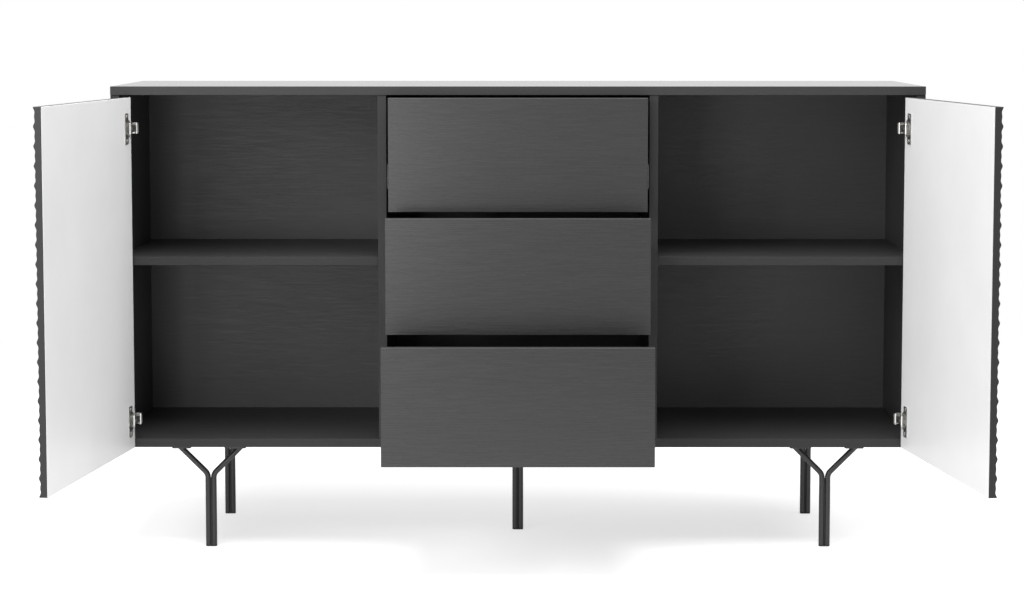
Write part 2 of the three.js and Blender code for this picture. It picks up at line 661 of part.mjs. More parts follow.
function buildDrawer(name, low, pull) {
  const drawer = new THREE.Group();
  const rails = new THREE.Group();
  drawer.position.y = -pull;
  rails.position.y = -pull / 2;
  sideboard.add(drawer, rails);
  addPiece(`${name}_drawer_front`, drawerFrontGeometry(low), charcoalBoard, drawer);
  addPiece(`${name}_drawer_surround`, drawerSurroundGeometry(low), darkPanel, drawer);
  addPiece(`${name}_drawer_bottom`, drawerBottomGeometry(low), darkPanel, drawer);
  const height = low + SLIDE_LIFT;
  for (const [sideName, side] of Object.entries(SIDES)) {
    const slide = `${name}_${sideName}_slide`;
    const cabinet = channel(side, 0, CABINET_LIP, CABINET_HALF, height);
    const middle = channel(side, MIDDLE_WEB_OFFSET, MIDDLE_WEB_OFFSET + MIDDLE_LIP, MIDDLE_HALF, height);
    const moving = channel(side, SLIDE_THICKNESS, SLIDE_THICKNESS - DRAWER_LIP, DRAWER_HALF, height);
    addPiece(`${slide}_cabinet_rail`, cabinet, platedSteel);
    addPiece(`${slide}_middle_rail`, middle, platedSteel, rails);
    addPiece(`${slide}_drawer_rail`, moving, platedSteel, drawer);
  }
}

function buildDrawers() {
  let low = BASE + DRAWER_FRONT_GAP;
  for (const [name, pullShare] of Object.entries(DRAWER_PULL_SHARES)) {
    buildDrawer(name, low, pullShare * SLIDE_LENGTH);
    low += DRAWER_FRONT_HEIGHT + DRAWER_FRONT_GAP;
  }
}

buildTopBoard();
buildBottomBoard();
buildBackPanel();
buildLegs();
buildDrawers();
for (const [name, side] of Object.entries(SIDES)) {
  buildSidePanel(name, side);
  buildDivider(name, side);
  buildShelf(name, side);
  buildDoor(name, side);
}

export default sideboard;
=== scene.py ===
"""Looks of a charcoal sideboard with open doors and staggered drawers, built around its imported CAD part."""

import json
import logging
import math
from collections.abc import Iterable, Sequence
from dataclasses import dataclass
from enum import Enum
from functools import cached_property

import bmesh
import bpy
from bmesh.types import BMesh
from bpy.types import Camera, Light, Material, Mesh, Node, NodeSocket, NodeTree, Object
from mathutils import Matrix, Vector

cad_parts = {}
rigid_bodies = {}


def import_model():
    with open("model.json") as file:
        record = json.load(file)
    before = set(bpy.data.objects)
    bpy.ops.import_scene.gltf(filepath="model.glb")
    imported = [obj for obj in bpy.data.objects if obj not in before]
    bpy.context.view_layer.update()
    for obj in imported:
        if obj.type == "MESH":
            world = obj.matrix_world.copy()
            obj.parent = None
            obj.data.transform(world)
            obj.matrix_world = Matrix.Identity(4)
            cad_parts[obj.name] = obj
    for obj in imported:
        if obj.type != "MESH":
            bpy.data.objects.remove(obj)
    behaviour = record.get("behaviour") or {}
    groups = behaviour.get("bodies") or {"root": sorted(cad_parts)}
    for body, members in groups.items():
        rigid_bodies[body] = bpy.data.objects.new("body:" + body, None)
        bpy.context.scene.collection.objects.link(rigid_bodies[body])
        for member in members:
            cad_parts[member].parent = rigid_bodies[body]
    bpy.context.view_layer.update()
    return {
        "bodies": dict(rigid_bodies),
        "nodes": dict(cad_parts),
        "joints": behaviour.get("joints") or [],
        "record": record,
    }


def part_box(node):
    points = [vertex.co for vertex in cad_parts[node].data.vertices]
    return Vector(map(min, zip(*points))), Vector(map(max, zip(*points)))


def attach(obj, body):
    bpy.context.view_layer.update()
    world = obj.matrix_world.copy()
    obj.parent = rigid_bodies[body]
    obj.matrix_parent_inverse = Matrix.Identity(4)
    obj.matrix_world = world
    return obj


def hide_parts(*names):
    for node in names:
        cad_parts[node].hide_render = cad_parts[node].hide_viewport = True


LOG = logging.getLogger("sideboard")
MM = 0.001
SMOOTH_ANGLE = math.radians(32)
WELD_REACH = 0.01 * MM
NOISE_ROUGHNESS = 0.6
# A board's narrow face is told from its rounded arris by how squarely it looks along the axis
NARROW_SLOPES = (0.6, 0.8)
# A rounded corner takes a little less than half of each side, so that two corners never meet
SIDE_PARTS = 2.01
# Which of a plated piece's two finishes its screws have
SCREW_FINISH = 1
# Frames whose third axis points along x or y, with the first two along the other axes in order
OUT_ALONG_X = Matrix(((0, 0, 1, 0), (1, 0, 0, 0), (0, 1, 0, 0), (0, 0, 0, 1)))
OUT_ALONG_Y = Matrix(((1, 0, 0, 0), (0, 0, 1, 0), (0, 1, 0, 0), (0, 0, 0, 1)))

Outline = list[tuple[float, float]]
Inputs = dict[str | int, NodeSocket | float | Sequence[float]]


class Side(Enum):
    """The two ends of the sideboard, as seen from the front."""

    LEFT = -1
    RIGHT = 1

    @property
    def word(self) -> str:
        """The side's name as the CAD nodes spell it."""
        return self.name.lower()


class Level(Enum):
    """The two hinges of a door."""

    UPPER = "upper"
    LOWER = "lower"


class Grain(Enum):
    """The way a print's streaks run, as shares of their length along x, y and z."""

    ALONG_X = (1, 0, 0)
    ALONG_Z = (0, 0, 1)
    ROUND_THE_BOX = (1, 1, 0)

    def cell(self, length: float, width: float) -> Vector:
        """The size of one streak along x, y and z."""
        return Vector([length if share else width for share in self.value])


class Axis(Enum):
    """An axis of a board's own frame, by its place in a vector."""

    X = 0
    Y = 1
    Z = 2


class Drawer(Enum):
    """The three drawers."""

    TOP = "top"
    MIDDLE = "middle"
    BOTTOM = "bottom"


# Node and mesh tools


def linear_color(code: str) -> tuple[float, float, float, float]:
    """Turn an sRGB hex colour into the linear values that Blender's sockets hold.

    Args:
        code: Six hex digits after a hash sign.

    Returns:
        Linear red, green and blue, and an alpha of one.
    """
    channels = [int(code[start : start + 2], 16) / 255 for start in (1, 3, 5)]
    red, green, blue = (c / 12.92 if c <= 0.04045 else ((c + 0.055) / 1.055) ** 2.4 for c in channels)
    return red, green, blue, 1.0


def fill(tree: NodeTree, node: Node, inputs: Inputs) -> None:
    """Fill a node's sockets: another node's output is linked, and anything else is the socket's value."""
    for key, value in inputs.items():
        if isinstance(value, NodeSocket):
            tree.links.new(value, node.inputs[key])
        else:
            node.inputs[key].default_value = value


def add_node(tree: NodeTree, kind: str, settings: dict | None = None, inputs: Inputs | None = None) -> Node:
    """Add a node with its settings and links.

    Sockets go by name, and those of a Mix node, which share names, by number: 0 is the share, 2 and 3
    are its two values, and 6 and 7 its two colours.

    Args:
        tree: Node tree that takes the node.
        kind: Blender's name for the type of node.
        settings: Values of the node's own properties.
        inputs: What goes into its sockets.

    Returns:
        The new node.
    """
    node = tree.nodes.new(kind)
    for name, value in (settings or {}).items():
        setattr(node, name, value)
    fill(tree, node, inputs or {})
    return node


def cells(tree: NodeTree, size: Sequence[float], detail: float = 2.0, contrast: float = 0.15) -> NodeSocket:
    """Lay irregular cells over a piece, fixed to the piece's own coordinates.

    Args:
        tree: Node tree that takes the pattern.
        size: Size of a cell along x, y and z, in metres.
        detail: How many finer layers the pattern holds.
        contrast: How far the pattern swings round its middle before it reaches zero or one.

    Returns:
        A value from zero to one.
    """
    place = add_node(tree, "ShaderNodeTexCoord")
    scaling = {"Vector": place.outputs["Object"], "Scale": [1 / length for length in size]}
    scaled = add_node(tree, "ShaderNodeMapping", inputs=scaling)
    layers = {"Scale": 1.0, "Detail": detail, "Roughness": NOISE_ROUGHNESS}
    noise = add_node(tree, "ShaderNodeTexNoise", inputs={"Vector": scaled.outputs["Vector"], **layers})
    span = {"Value": noise.outputs[0], "From Min": 0.5 - contrast, "From Max": 0.5 + contrast}
    return add_node(tree, "ShaderNodeMapRange", inputs=span).outputs[0]


def narrow_face(tree: NodeTree, axes: Sequence[Axis]) -> NodeSocket:
    """Find a board's narrow faces.

    Args:
        tree: Node tree that takes the test.
        axes: The axes that the narrow faces look along.

    Returns:
        One on a narrow face, and zero elsewhere.
    """
    place = add_node(tree, "ShaderNodeTexCoord")
    parts = add_node(tree, "ShaderNodeSeparateXYZ", inputs={0: place.outputs["Normal"]})
    steepest: NodeSocket | float = 0.0
    for axis in axes:
        size = add_node(tree, "ShaderNodeMath", {"operation": "ABSOLUTE"}, {0: parts.outputs[axis.value]})
        pair = {0: steepest, 1: size.outputs[0]}
        steepest = add_node(tree, "ShaderNodeMath", {"operation": "MAXIMUM"}, pair).outputs[0]
    start, end = NARROW_SLOPES
    limits = {"Value": steepest, "From Min": start, "From Max": end}
    return add_node(tree, "ShaderNodeMapRange", inputs=limits).outputs[0]


def rounded(corners: Outline, radius: float, steps: int = 6) -> Outline:
    """Round every corner of a closed outline.

    Args:
        corners: The outline's corners in order.
        radius: Radius wanted; a corner with short sides gets as much of it as they allow.
        steps: Number of chords in each corner.

    Returns:
        The rounded outline.
    """
    result = []
    for index, corner in enumerate(corners):
        here = Vector(corner)
        back = Vector(corners[index - 1]) - here
        ahead = Vector(corners[(index + 1) % len(corners)]) - here
        half_angle = back.angle(ahead) / 2
        cut = min(radius / math.tan(half_angle), back.length / SIDE_PARTS, ahead.length / SIDE_PARTS)
        start = here + back.normalized() * cut
        end = here + ahead.normalized() * cut
        for step in range(steps + 1):
            share = step / steps
            point = start.lerp(here, share).lerp(here.lerp(end, share), share)
            result.append((point.x, point.y))
    return result


def circle(radius: float, sides: int, centre: tuple[float, float] = (0, 0)) -> Outline:
    """Return the corners of a regular polygon that stands for a circle."""
    turns = [2 * math.pi * step / sides for step in range(sides)]
    return [(centre[0] + radius * math.cos(turn), centre[1] + radius * math.sin(turn)) for turn in turns]


def rectangle(across: tuple[float, float], along: tuple[float, float]) -> Outline:
    """Return a rectangle's corners, from its two ends on each axis."""
    (left, right), (low, high) = across, along
    return [(left, low), (right, low), (right, high), (left, high)]


def add_rings(mesh: BMesh, rings: Iterable[Sequence[Vector]], closed: bool = False, finish: int = 0) -> None:
    """Skin a row of rings of equal length, and cap both ends or join the last ring to the first.

    Args:
        mesh: Mesh that takes the skin.
        rings: The rings in order.
        closed: Whether the row runs back into itself.
        finish: Which of the piece's finishes the skin has.
    """
    rows = [[mesh.verts.new(point) for point in ring] for ring in rings]
    pairs = list(zip(rows, rows[1:]))
    if closed:
        pairs.append((rows[-1], rows[0]))
    faces = []
    for lower, upper in pairs:
        for index in range(len(lower)):
            after = (index + 1) % len(lower)
            faces.append(mesh.faces.new((lower[index], lower[after], upper[after], upper[index])))
    if not closed:
        faces.append(mesh.faces.new(rows[0][::-1]))
        faces.append(mesh.faces.new(rows[-1]))
    bmesh.ops.recalc_face_normals(mesh, faces=faces)
    for face in faces:
        face.material_index = finish


def add_prism(mesh: BMesh, outline: Outline, span: tuple[float, float], frame: Matrix = Matrix()) -> None:
    """Extrude a flat outline.

    Args:
        mesh: Mesh that takes the prism.
        outline: Corners on the frame's first two axes.
        span: Low and high end on the frame's third axis.
        frame: Where the outline's axes lie.
    """
    add_rings(mesh, [[frame @ Vector((x, y, height)) for x, y in outline] for height in span])


def add_lathe(mesh: BMesh, profile: Outline, frame: Matrix, sides: int = 32) -> None:
    """Turn a profile round the frame's third axis.

    Args:
        mesh: Mesh that takes the turned form.
        profile: Radius and height of each station, from one end of the skin to the other.
        frame: Where the axis lies.
        sides: Number of sides of the turned form.
    """
    rings = []
    for radius, height in profile:
        rings.append([frame @ Vector((x, y, height)) for x, y in circle(radius, sides)])
    add_rings(mesh, rings)


def moved(*place: float) -> Matrix:
    """Return the frame that stands at a place with the world's directions."""
    return Matrix.Translation(Vector(place))


def seated(place: Sequence[float], degrees: float, axis: str) -> Matrix:
    """Return the frame at a place, turned about one of the world's directions."""
    return moved(*place) @ Matrix.Rotation(math.radians(degrees), 4, axis)


def turned(angle: float, axis: str, pivot: Vector = Vector()) -> Matrix:
    """Return a turn about an axis through a pivot."""
    return Matrix.Translation(pivot) @ Matrix.Rotation(angle, 4, axis) @ Matrix.Translation(-pivot)


def add_object(name: str, data: Mesh | Light | Camera, place: Matrix | None = None) -> Object:
    """Put an object of a mesh, a lamp or a camera in the scene."""
    added = bpy.data.objects.new(name, data)
    added.matrix_world = place or Matrix()
    bpy.context.scene.collection.objects.link(added)
    return added


def new_piece(name: str, mesh: BMesh, *finishes: "Finish", place: Matrix | None = None) -> Object:
    """Make an object of a mesh.

    Args:
        name: Name of the piece.
        mesh: Its mesh, which this call frees.
        finishes: The finishes that the mesh's faces name by number.
        place: Where the piece's own frame stands.

    Returns:
        The new object.
    """
    data = bpy.data.meshes.new(name)
    mesh.to_mesh(data)
    mesh.free()
    for finish in finishes:
        data.materials.append(finish.material)
    shade(data)
    LOG.info("built %s with %d faces", name, len(data.polygons))
    return add_object(name, data, place)


def shade(data: Mesh) -> None:
    """Shade a mesh smooth, with its arrises left sharp."""
    data.shade_smooth()
    data.set_sharp_from_angle(angle=SMOOTH_ANGLE)


def ease_arrises(piece: Object, width: float, segments: int = 2) -> None:
    """Round a piece's sharp edges, as edging, a sander or a press leaves them.

    Args:
        piece: Piece whose edges are rounded; its own mesh is left as it is.
        width: Width of the rounding, in metres.
        segments: Number of strips in it.
    """
    weld = piece.modifiers.new("weld", "WELD")
    weld.merge_threshold = WELD_REACH
    arris = piece.modifiers.new("arris", "BEVEL")
    arris.width = width
    arris.segments = segments
    arris.limit_method = "ANGLE"
    arris.angle_limit = SMOOTH_ANGLE
    arris.use_clamp_overlap = True
    level_normals(piece)


def level_normals(piece: Object) -> None:
    """Let a piece's large faces set the normals, so that they stay flat beside their rounded edges."""
    facing = piece.modifiers.new("facing", "WEIGHTED_NORMAL")
    facing.keep_sharp = True


def bore(piece: Object, holes: BMesh) -> None:
    """Cut holes in a piece, and make what its modifiers show its own mesh.

    Args:
        piece: Piece that is cut.
        holes: Closed forms where the holes go, which this call frees.
    """
    cutter = new_piece(f"{piece.name}_holes", holes)
    cut = piece.modifiers.new("bore", "BOOLEAN")
    cut.object = cutter
    cut.operation = "DIFFERENCE"
    level_normals(piece)
    depsgraph = bpy.context.evaluated_depsgraph_get()
    data = bpy.data.meshes.new_from_object(piece.evaluated_get(depsgraph))
    piece.modifiers.clear()
    piece.data = data
    bpy.data.objects.remove(cutter)


# Finishes


@dataclass(frozen=True)
class Finish:
    """A finish, which makes one Blender material and keeps it."""

    title: str
    dark: str
    light: str
    roughness: tuple[float, float]
    depth: float

    @cached_property
    def material(self) -> Material:
        """The finish's material, made when it is first asked for."""
        material = bpy.data.materials.new(self.title)
        material.use_nodes = True
        tree = material.node_tree
        fill(tree, tree.nodes["Principled BSDF"], self.looks(tree))
        return material

    def looks(self, tree: NodeTree) -> Inputs:
        """Draw the finish's patterns; each kind of finish has its own.

        Args:
            tree: Node tree of the material.

        Returns:
            What goes into the shader's sockets.
        """
        raise NotImplementedError

    def patterned(self, tree: NodeTree, pattern: NodeSocket, print_share: NodeSocket | None = None) -> Inputs:
        """Let a pattern carry gloss and relief, and also the tone where no print is given.

        Args:
            tree: Node tree of the material.
            pattern: A value from zero to one.
            print_share: How light the print is, from zero to one.

        Returns:
            What goes into the shader's colour, roughness and normal.
        """
        share = pattern if print_share is None else print_share
        tones = {0: share, 6: linear_color(self.dark), 7: linear_color(self.light)}
        tone = add_node(tree, "ShaderNodeMix", {"data_type": "RGBA"}, tones)
        rough, smooth = self.roughness
        span = {"Value": pattern, "To Min": rough, "To Max": smooth}
        gloss = add_node(tree, "ShaderNodeMapRange", inputs=span)
        bump = add_node(tree, "ShaderNodeBump", inputs={"Distance": self.depth, "Height": pattern})
        return {"Base Color": tone.outputs[2], "Roughness": gloss.outputs[0], "Normal": bump.outputs[0]}


@dataclass(frozen=True)
class GrainedMelamine(Finish):
    """Chipboard faced with melamine paper, pressed between plates with a fine wood grain.

    The print shows thin darker streaks along the grain and a slow drift of tone across it. The pressed
    pores break up the gloss, and the edging on the narrow faces is plainer, duller and a little darker.
    """

    dark: str = "#343434"
    light: str = "#3D3D3D"
    roughness: tuple[float, float] = (0.36, 0.44)
    depth: float = 0.04 * MM
    edging: str = "#2A2A2A"
    edging_roughness: float = 0.62
    edged: tuple[Axis, ...] = (Axis.Y,)
    grain: Grain = Grain.ALONG_X
    # A real pore is 0.3 mm wide; 1.6 mm is the narrowest streak that the render can show
    streak: tuple[float, float] = (60 * MM, 1.6 * MM)
    drift: tuple[float, float] = (420 * MM, 26 * MM)
    drift_share: float = 0.35
    specular: float = 0.3

    def looks(self, tree: NodeTree) -> Inputs:
        """Print the grain, press its pores and edge the narrow faces."""
        pores = cells(tree, self.grain.cell(*self.streak), detail=3.0)
        drift = cells(tree, self.grain.cell(*self.drift), detail=1.0, contrast=0.25)
        drifting = {0: self.drift_share, 2: pores, 3: drift}
        looks = self.patterned(tree, pores, add_node(tree, "ShaderNodeMix", inputs=drifting).outputs[0])
        narrow = narrow_face(tree, self.edged)
        edged = {0: narrow, 6: looks["Base Color"], 7: linear_color(self.edging)}
        looks["Base Color"] = add_node(tree, "ShaderNodeMix", {"data_type": "RGBA"}, edged).outputs[2]
        glosses = {0: narrow, 2: looks["Roughness"], 3: self.edging_roughness}
        looks["Roughness"] = add_node(tree, "ShaderNodeMix", inputs=glosses).outputs[0]
        looks["Specular IOR Level"] = self.specular
        return looks


@dataclass(frozen=True)
class PressedFoil(Finish):
    """Grey foil drawn over a milled board in a membrane press.

    It has the boards' print, but the foil bridges the finest pores, so it shines a little more evenly
    and the milled wave carries soft lengthwise lights. Over the door's ends the foil is drawn smooth.
    """

    dark: str = "#343434"
    light: str = "#3D3D3D"
    roughness: tuple[float, float] = (0.4, 0.48)
    depth: float = 0.03 * MM
    edging: str = "#2C2C2C"
    streak: tuple[float, float] = (60 * MM, 1.6 * MM)
    specular: float = 0.3

    def looks(self, tree: NodeTree) -> Inputs:
        """Print the grain and press its pores, and leave the ends plain."""
        pores = cells(tree, Grain.ALONG_X.cell(*self.streak), detail=3.0)
        plain = narrow_face(tree, (Axis.X,))
        drawn = add_node(tree, "ShaderNodeMix", inputs={0: plain, 2: pores, 3: 0.5}).outputs[0]
        looks = self.patterned(tree, drawn)
        edged = {0: plain, 6: looks["Base Color"], 7: linear_color(self.edging)}
        looks["Base Color"] = add_node(tree, "ShaderNodeMix", {"data_type": "RGBA"}, edged).outputs[2]
        looks["Specular IOR Level"] = self.specular
        return looks


@dataclass(frozen=True)
class PlainFoil(Finish):
    """Paper foil laminated to thin board, with a faint print and an even, dull surface."""

    dark: str = "#2F2F2F"
    light: str = "#373737"
    roughness: tuple[float, float] = (0.5, 0.6)
    depth: float = 0.03 * MM
    grain: Grain = Grain.ALONG_X
    streak: tuple[float, float] = (60 * MM, 2.2 * MM)

    def looks(self, tree: NodeTree) -> Inputs:
        """Print the streaks and let them break up the gloss."""
        return self.patterned(tree, cells(tree, self.grain.cell(*self.streak), detail=2.0))


@dataclass(frozen=True)
class WhiteMelamine(Finish):
    """White melamine with a pearl texture: tiny even bumps that spread the highlight."""

    dark: str = "#E8E8E8"
    light: str = "#ECECEC"
    roughness: tuple[float, float] = (0.36, 0.44)
    depth: float = 0.03 * MM
    # A real pearl bump is 0.8 mm across; 3 mm is the finest that the render can show
    pearl: float = 3 * MM
    cloud: float = 140 * MM

    def looks(self, tree: NodeTree) -> Inputs:
        """Raise the pearls, and let the paper's tone drift a little."""
        pearls = cells(tree, [self.pearl] * 3, detail=1.0, contrast=0.25)
        return self.patterned(tree, pearls, cells(tree, [self.cloud] * 3, detail=2.0, contrast=0.2))


@dataclass(frozen=True)
class EvenFinish(Finish):
    """A finish whose texture is small, even and the same all ways."""

    cell: float
    contrast: float = 0.25

    def looks(self, tree: NodeTree) -> Inputs:
        """Raise the texture, and vary tone and gloss with it."""
        return self.patterned(tree, cells(tree, [self.cell] * 3, detail=1.0, contrast=self.contrast))


@dataclass(frozen=True)
class PowderCoat(EvenFinish):
    """Black polyester powder, baked on steel, with a satin gloss and a fine orange peel."""

    dark: str = "#1B1B1C"
    light: str = "#222223"
    roughness: tuple[float, float] = (0.36, 0.46)
    depth: float = 0.05 * MM
    # The peel of a real coat is 1 to 3 mm across
    cell: float = 2 * MM


@dataclass(frozen=True)
class PlatedSteel(EvenFinish):
    """Pressed steel with a thin satin plating, whose rolled surface still shows as faint cloudy patches."""

    dark: str = "#C6C5C2"
    light: str = "#D4D3D0"
    roughness: tuple[float, float] = (0.3, 0.38)
    depth: float = 0.004 * MM
    cell: float = 9 * MM
    contrast: float = 0.3

    def looks(self, tree: NodeTree) -> Inputs:
        """Set the metal, and let its patches vary tone and gloss."""
        return {**super().looks(tree), "Metallic": 1.0}


@dataclass(frozen=True)
class MouldedNylon(EvenFinish):
    """Black nylon from a spark-eroded mould, whose fine pitting takes the shine off."""

    dark: str = "#141415"
    light: str = "#1C1C1D"
    roughness: tuple[float, float] = (0.5, 0.62)
    depth: float = 0.04 * MM
    # Spark-eroded pits are 0.1 mm across; 1 mm is the finest that a close view can show
    cell: float = 1 * MM


TOP_BOARD = GrainedMelamine(
    "charcoal_melamine_top",
    roughness=(0.13, 0.18),
    depth=0.008 * MM,
    edging="#1E1E1E",
    edged=(Axis.X, Axis.Y),
    specular=0.5,
)
LENGTHWISE_BOARD = GrainedMelamine("charcoal_melamine_lengthwise", edged=(Axis.X, Axis.Y))
UPRIGHT_BOARD = GrainedMelamine("charcoal_melamine_upright", grain=Grain.ALONG_Z)
FRONT_BOARD = GrainedMelamine(
    "charcoal_melamine_front",
    dark="#242424",
    light="#2A2A2A",
    roughness=(0.25, 0.3),
    depth=0.02 * MM,
    edged=(Axis.X, Axis.Z),
    specular=0.5,
)
MILLED_FOIL = PressedFoil("charcoal_foil_over_milled_board")
DOOR_BACK = WhiteMelamine("white_melamine_pearl")
BOX_FOIL = PlainFoil("dark_foil_drawer_wrap", grain=Grain.ROUND_THE_BOX)
PANEL_FOIL = PlainFoil("dark_foil_thin_board", dark="#3C3C3C", light="#454545")
BLACK_POWDER = PowderCoat("black_powder_coat")
NICKEL = PlatedSteel("nickel_plated_steel")
ZINC = PlatedSteel("zinc_plated_steel", dark="#A6AAAE", light="#B4B8BC", roughness=(0.36, 0.46))
SCREW_STEEL = PlatedSteel("bright_screw_steel", dark="#A6A6A4", light="#B8B7B4", cell=3 * MM)
GLIDE_NYLON = MouldedNylon("black_nylon_moulded")


# Screws


@dataclass(frozen=True)
class Screw:
    """A screw head with a cross recess."""

    radius: float = 3.6 * MM
    height: float = 1.5 * MM
    recess_share: float = 0.55
    recess_depth_share: float = 0.7
    slot_share: float = 0.24
    crown_share: float = 0.5
    cross_share: float = 0.92
    dome_steps: int = 5

    def add(self, mesh: BMesh, frame: Matrix, finish: int = SCREW_FINISH) -> None:
        """Add the head, seated on the frame's origin and standing up its third axis.

        Args:
            mesh: Mesh that takes the head.
            frame: Where the head sits.
            finish: Which of the piece's finishes the head has.
        """
        dome = []
        for step in range(self.dome_steps + 1):
            share = step / self.dome_steps
            radius = self.radius * (1 - share * (1 - self.recess_share))
            rise = (1 - self.crown_share) * math.sin(share * math.pi / 2)
            dome.append((radius, self.height * (self.crown_share + rise)))
        floor = self.height * (1 - self.recess_depth_share)
        rings = [self.ring(radius, height) for radius, height in [(self.radius, 0), *dome]]
        rings += [self.cross(self.height), self.cross(floor)]
        add_rings(mesh, [[frame @ point for point in ring] for ring in rings], finish=finish)

    def ring(self, radius: float, height: float) -> list[Vector]:
        """A ring of the head, with a corner in the direction of each corner of the cross recess."""
        directions = [Vector(corner).normalized() * radius for corner in self.corners()]
        return [Vector((point.x, point.y, height)) for point in directions]

    def corners(self) -> Outline:
        """The cross recess seen from above, in order round it."""
        reach = self.radius * self.recess_share * self.cross_share
        half = self.radius * self.slot_share / 2
        quarter = [(reach, -half), (reach, half), (half, half)]
        points = []
        for turn in range(4):
            spin = Matrix.Rotation(turn * math.pi / 2, 2)
            points.extend(tuple(spin @ Vector(point)) for point in quarter)
        return points

    def cross(self, height: float) -> list[Vector]:
        """The cross recess at a height."""
        return [Vector((x, y, height)) for x, y in self.corners()]


# Doors


@dataclass
class Door:
    """A door leaf with a wave milled across its front, drawn closed and swung open on its hinge pin."""

    side: Side
    pin: Vector
    outer_edge: float = 748.5 * MM
    inner_edge: float = 251.5 * MM
    back: float = -202 * MM
    thickness: float = 15 * MM
    low: float = 196 * MM
    high: float = 847 * MM
    swing: float = math.radians(98.2)
    closed_pin: tuple[float, float] = (730.5 * MM, -198.5 * MM)
    waves: int = 20
    wave_depth: float = 2.8 * MM
    wave_steps: int = 24
    # The wave's depth as a constant less three cosines; it fits the scalloped free edges in the photograph
    wave_shares: tuple[float, ...] = (0.6695, 0.3257, 0.3095, 0.0343)
    arris: float = 1.1 * MM
    arris_strips: int = 3
    cup_radius: float = 17.8 * MM
    cup_depth: float = 10.9 * MM
    cup_from_edge: float = 22 * MM
    cup_heights: tuple[float, ...] = (790 * MM, 249 * MM)
    cup_sides: int = 48
    # The back looks squarely along y; no slope of the wave comes near it
    back_slope: float = 0.9

    @property
    def opening(self) -> Matrix:
        """The move that takes the closed door to where it stands open."""
        sign = self.side.value
        closed = Vector((sign * self.closed_pin[0], self.closed_pin[1], 0))
        travel = Vector((self.pin.x - closed.x, self.pin.y - closed.y, 0))
        return Matrix.Translation(travel) @ turned(sign * self.swing, "Z", closed)

    def front_depth(self, share: float) -> float:
        """How deep the wave lies behind the door's face, at a share of one pitch."""
        mean, *swings = self.wave_shares
        ripple = sum(size * math.cos(2 * math.pi * (order + 1) * share) for order, size in enumerate(swings))
        return self.wave_depth * (mean - ripple)

    def outline(self) -> Outline:
        """The door's upright section, as depth and height."""
        face = self.back - self.thickness
        steps = self.waves * self.wave_steps
        points = [(self.back, self.high), (self.back, self.low)]
        for step in range(steps + 1):
            height = self.low + (self.high - self.low) * step / steps
            points.append((face + self.front_depth(step / self.wave_steps % 1), height))
        return points

    def build(self) -> None:
        """Make the leaf with its rounded arrises and its bores."""
        mesh = bmesh.new()
        sign = self.side.value
        section = self.outline()
        edges = (self.outer_edge, self.inner_edge)
        add_rings(mesh, [[Vector((sign * x, depth, height)) for depth, height in section] for x in edges])
        for face in mesh.faces:
            face.material_index = int(face.normal.y > self.back_slope)
        name = f"{self.side.word}_door_leaf"
        leaf = new_piece(name, mesh, MILLED_FOIL, DOOR_BACK)
        ease_arrises(leaf, self.arris, self.arris_strips)
        bore(leaf, self.cup_holes())
        leaf.matrix_world = self.opening
        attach(leaf, f"{self.side.word}_door")
        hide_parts(f"{self.side.word}_door")

    def cup_holes(self) -> BMesh:
        """Place the blind holes for the hinge cups.

        Returns:
            The cutters of both holes.
        """
        mesh = bmesh.new()
        for height in self.cup_heights:
            across = self.side.value * (self.outer_edge - self.cup_from_edge)
            outwards = seated((across, self.back - self.cup_depth, height), -90, "X")
            add_prism(mesh, circle(self.cup_radius, self.cup_sides), (0, self.cup_depth * 2), outwards)
        return mesh


# Hinges


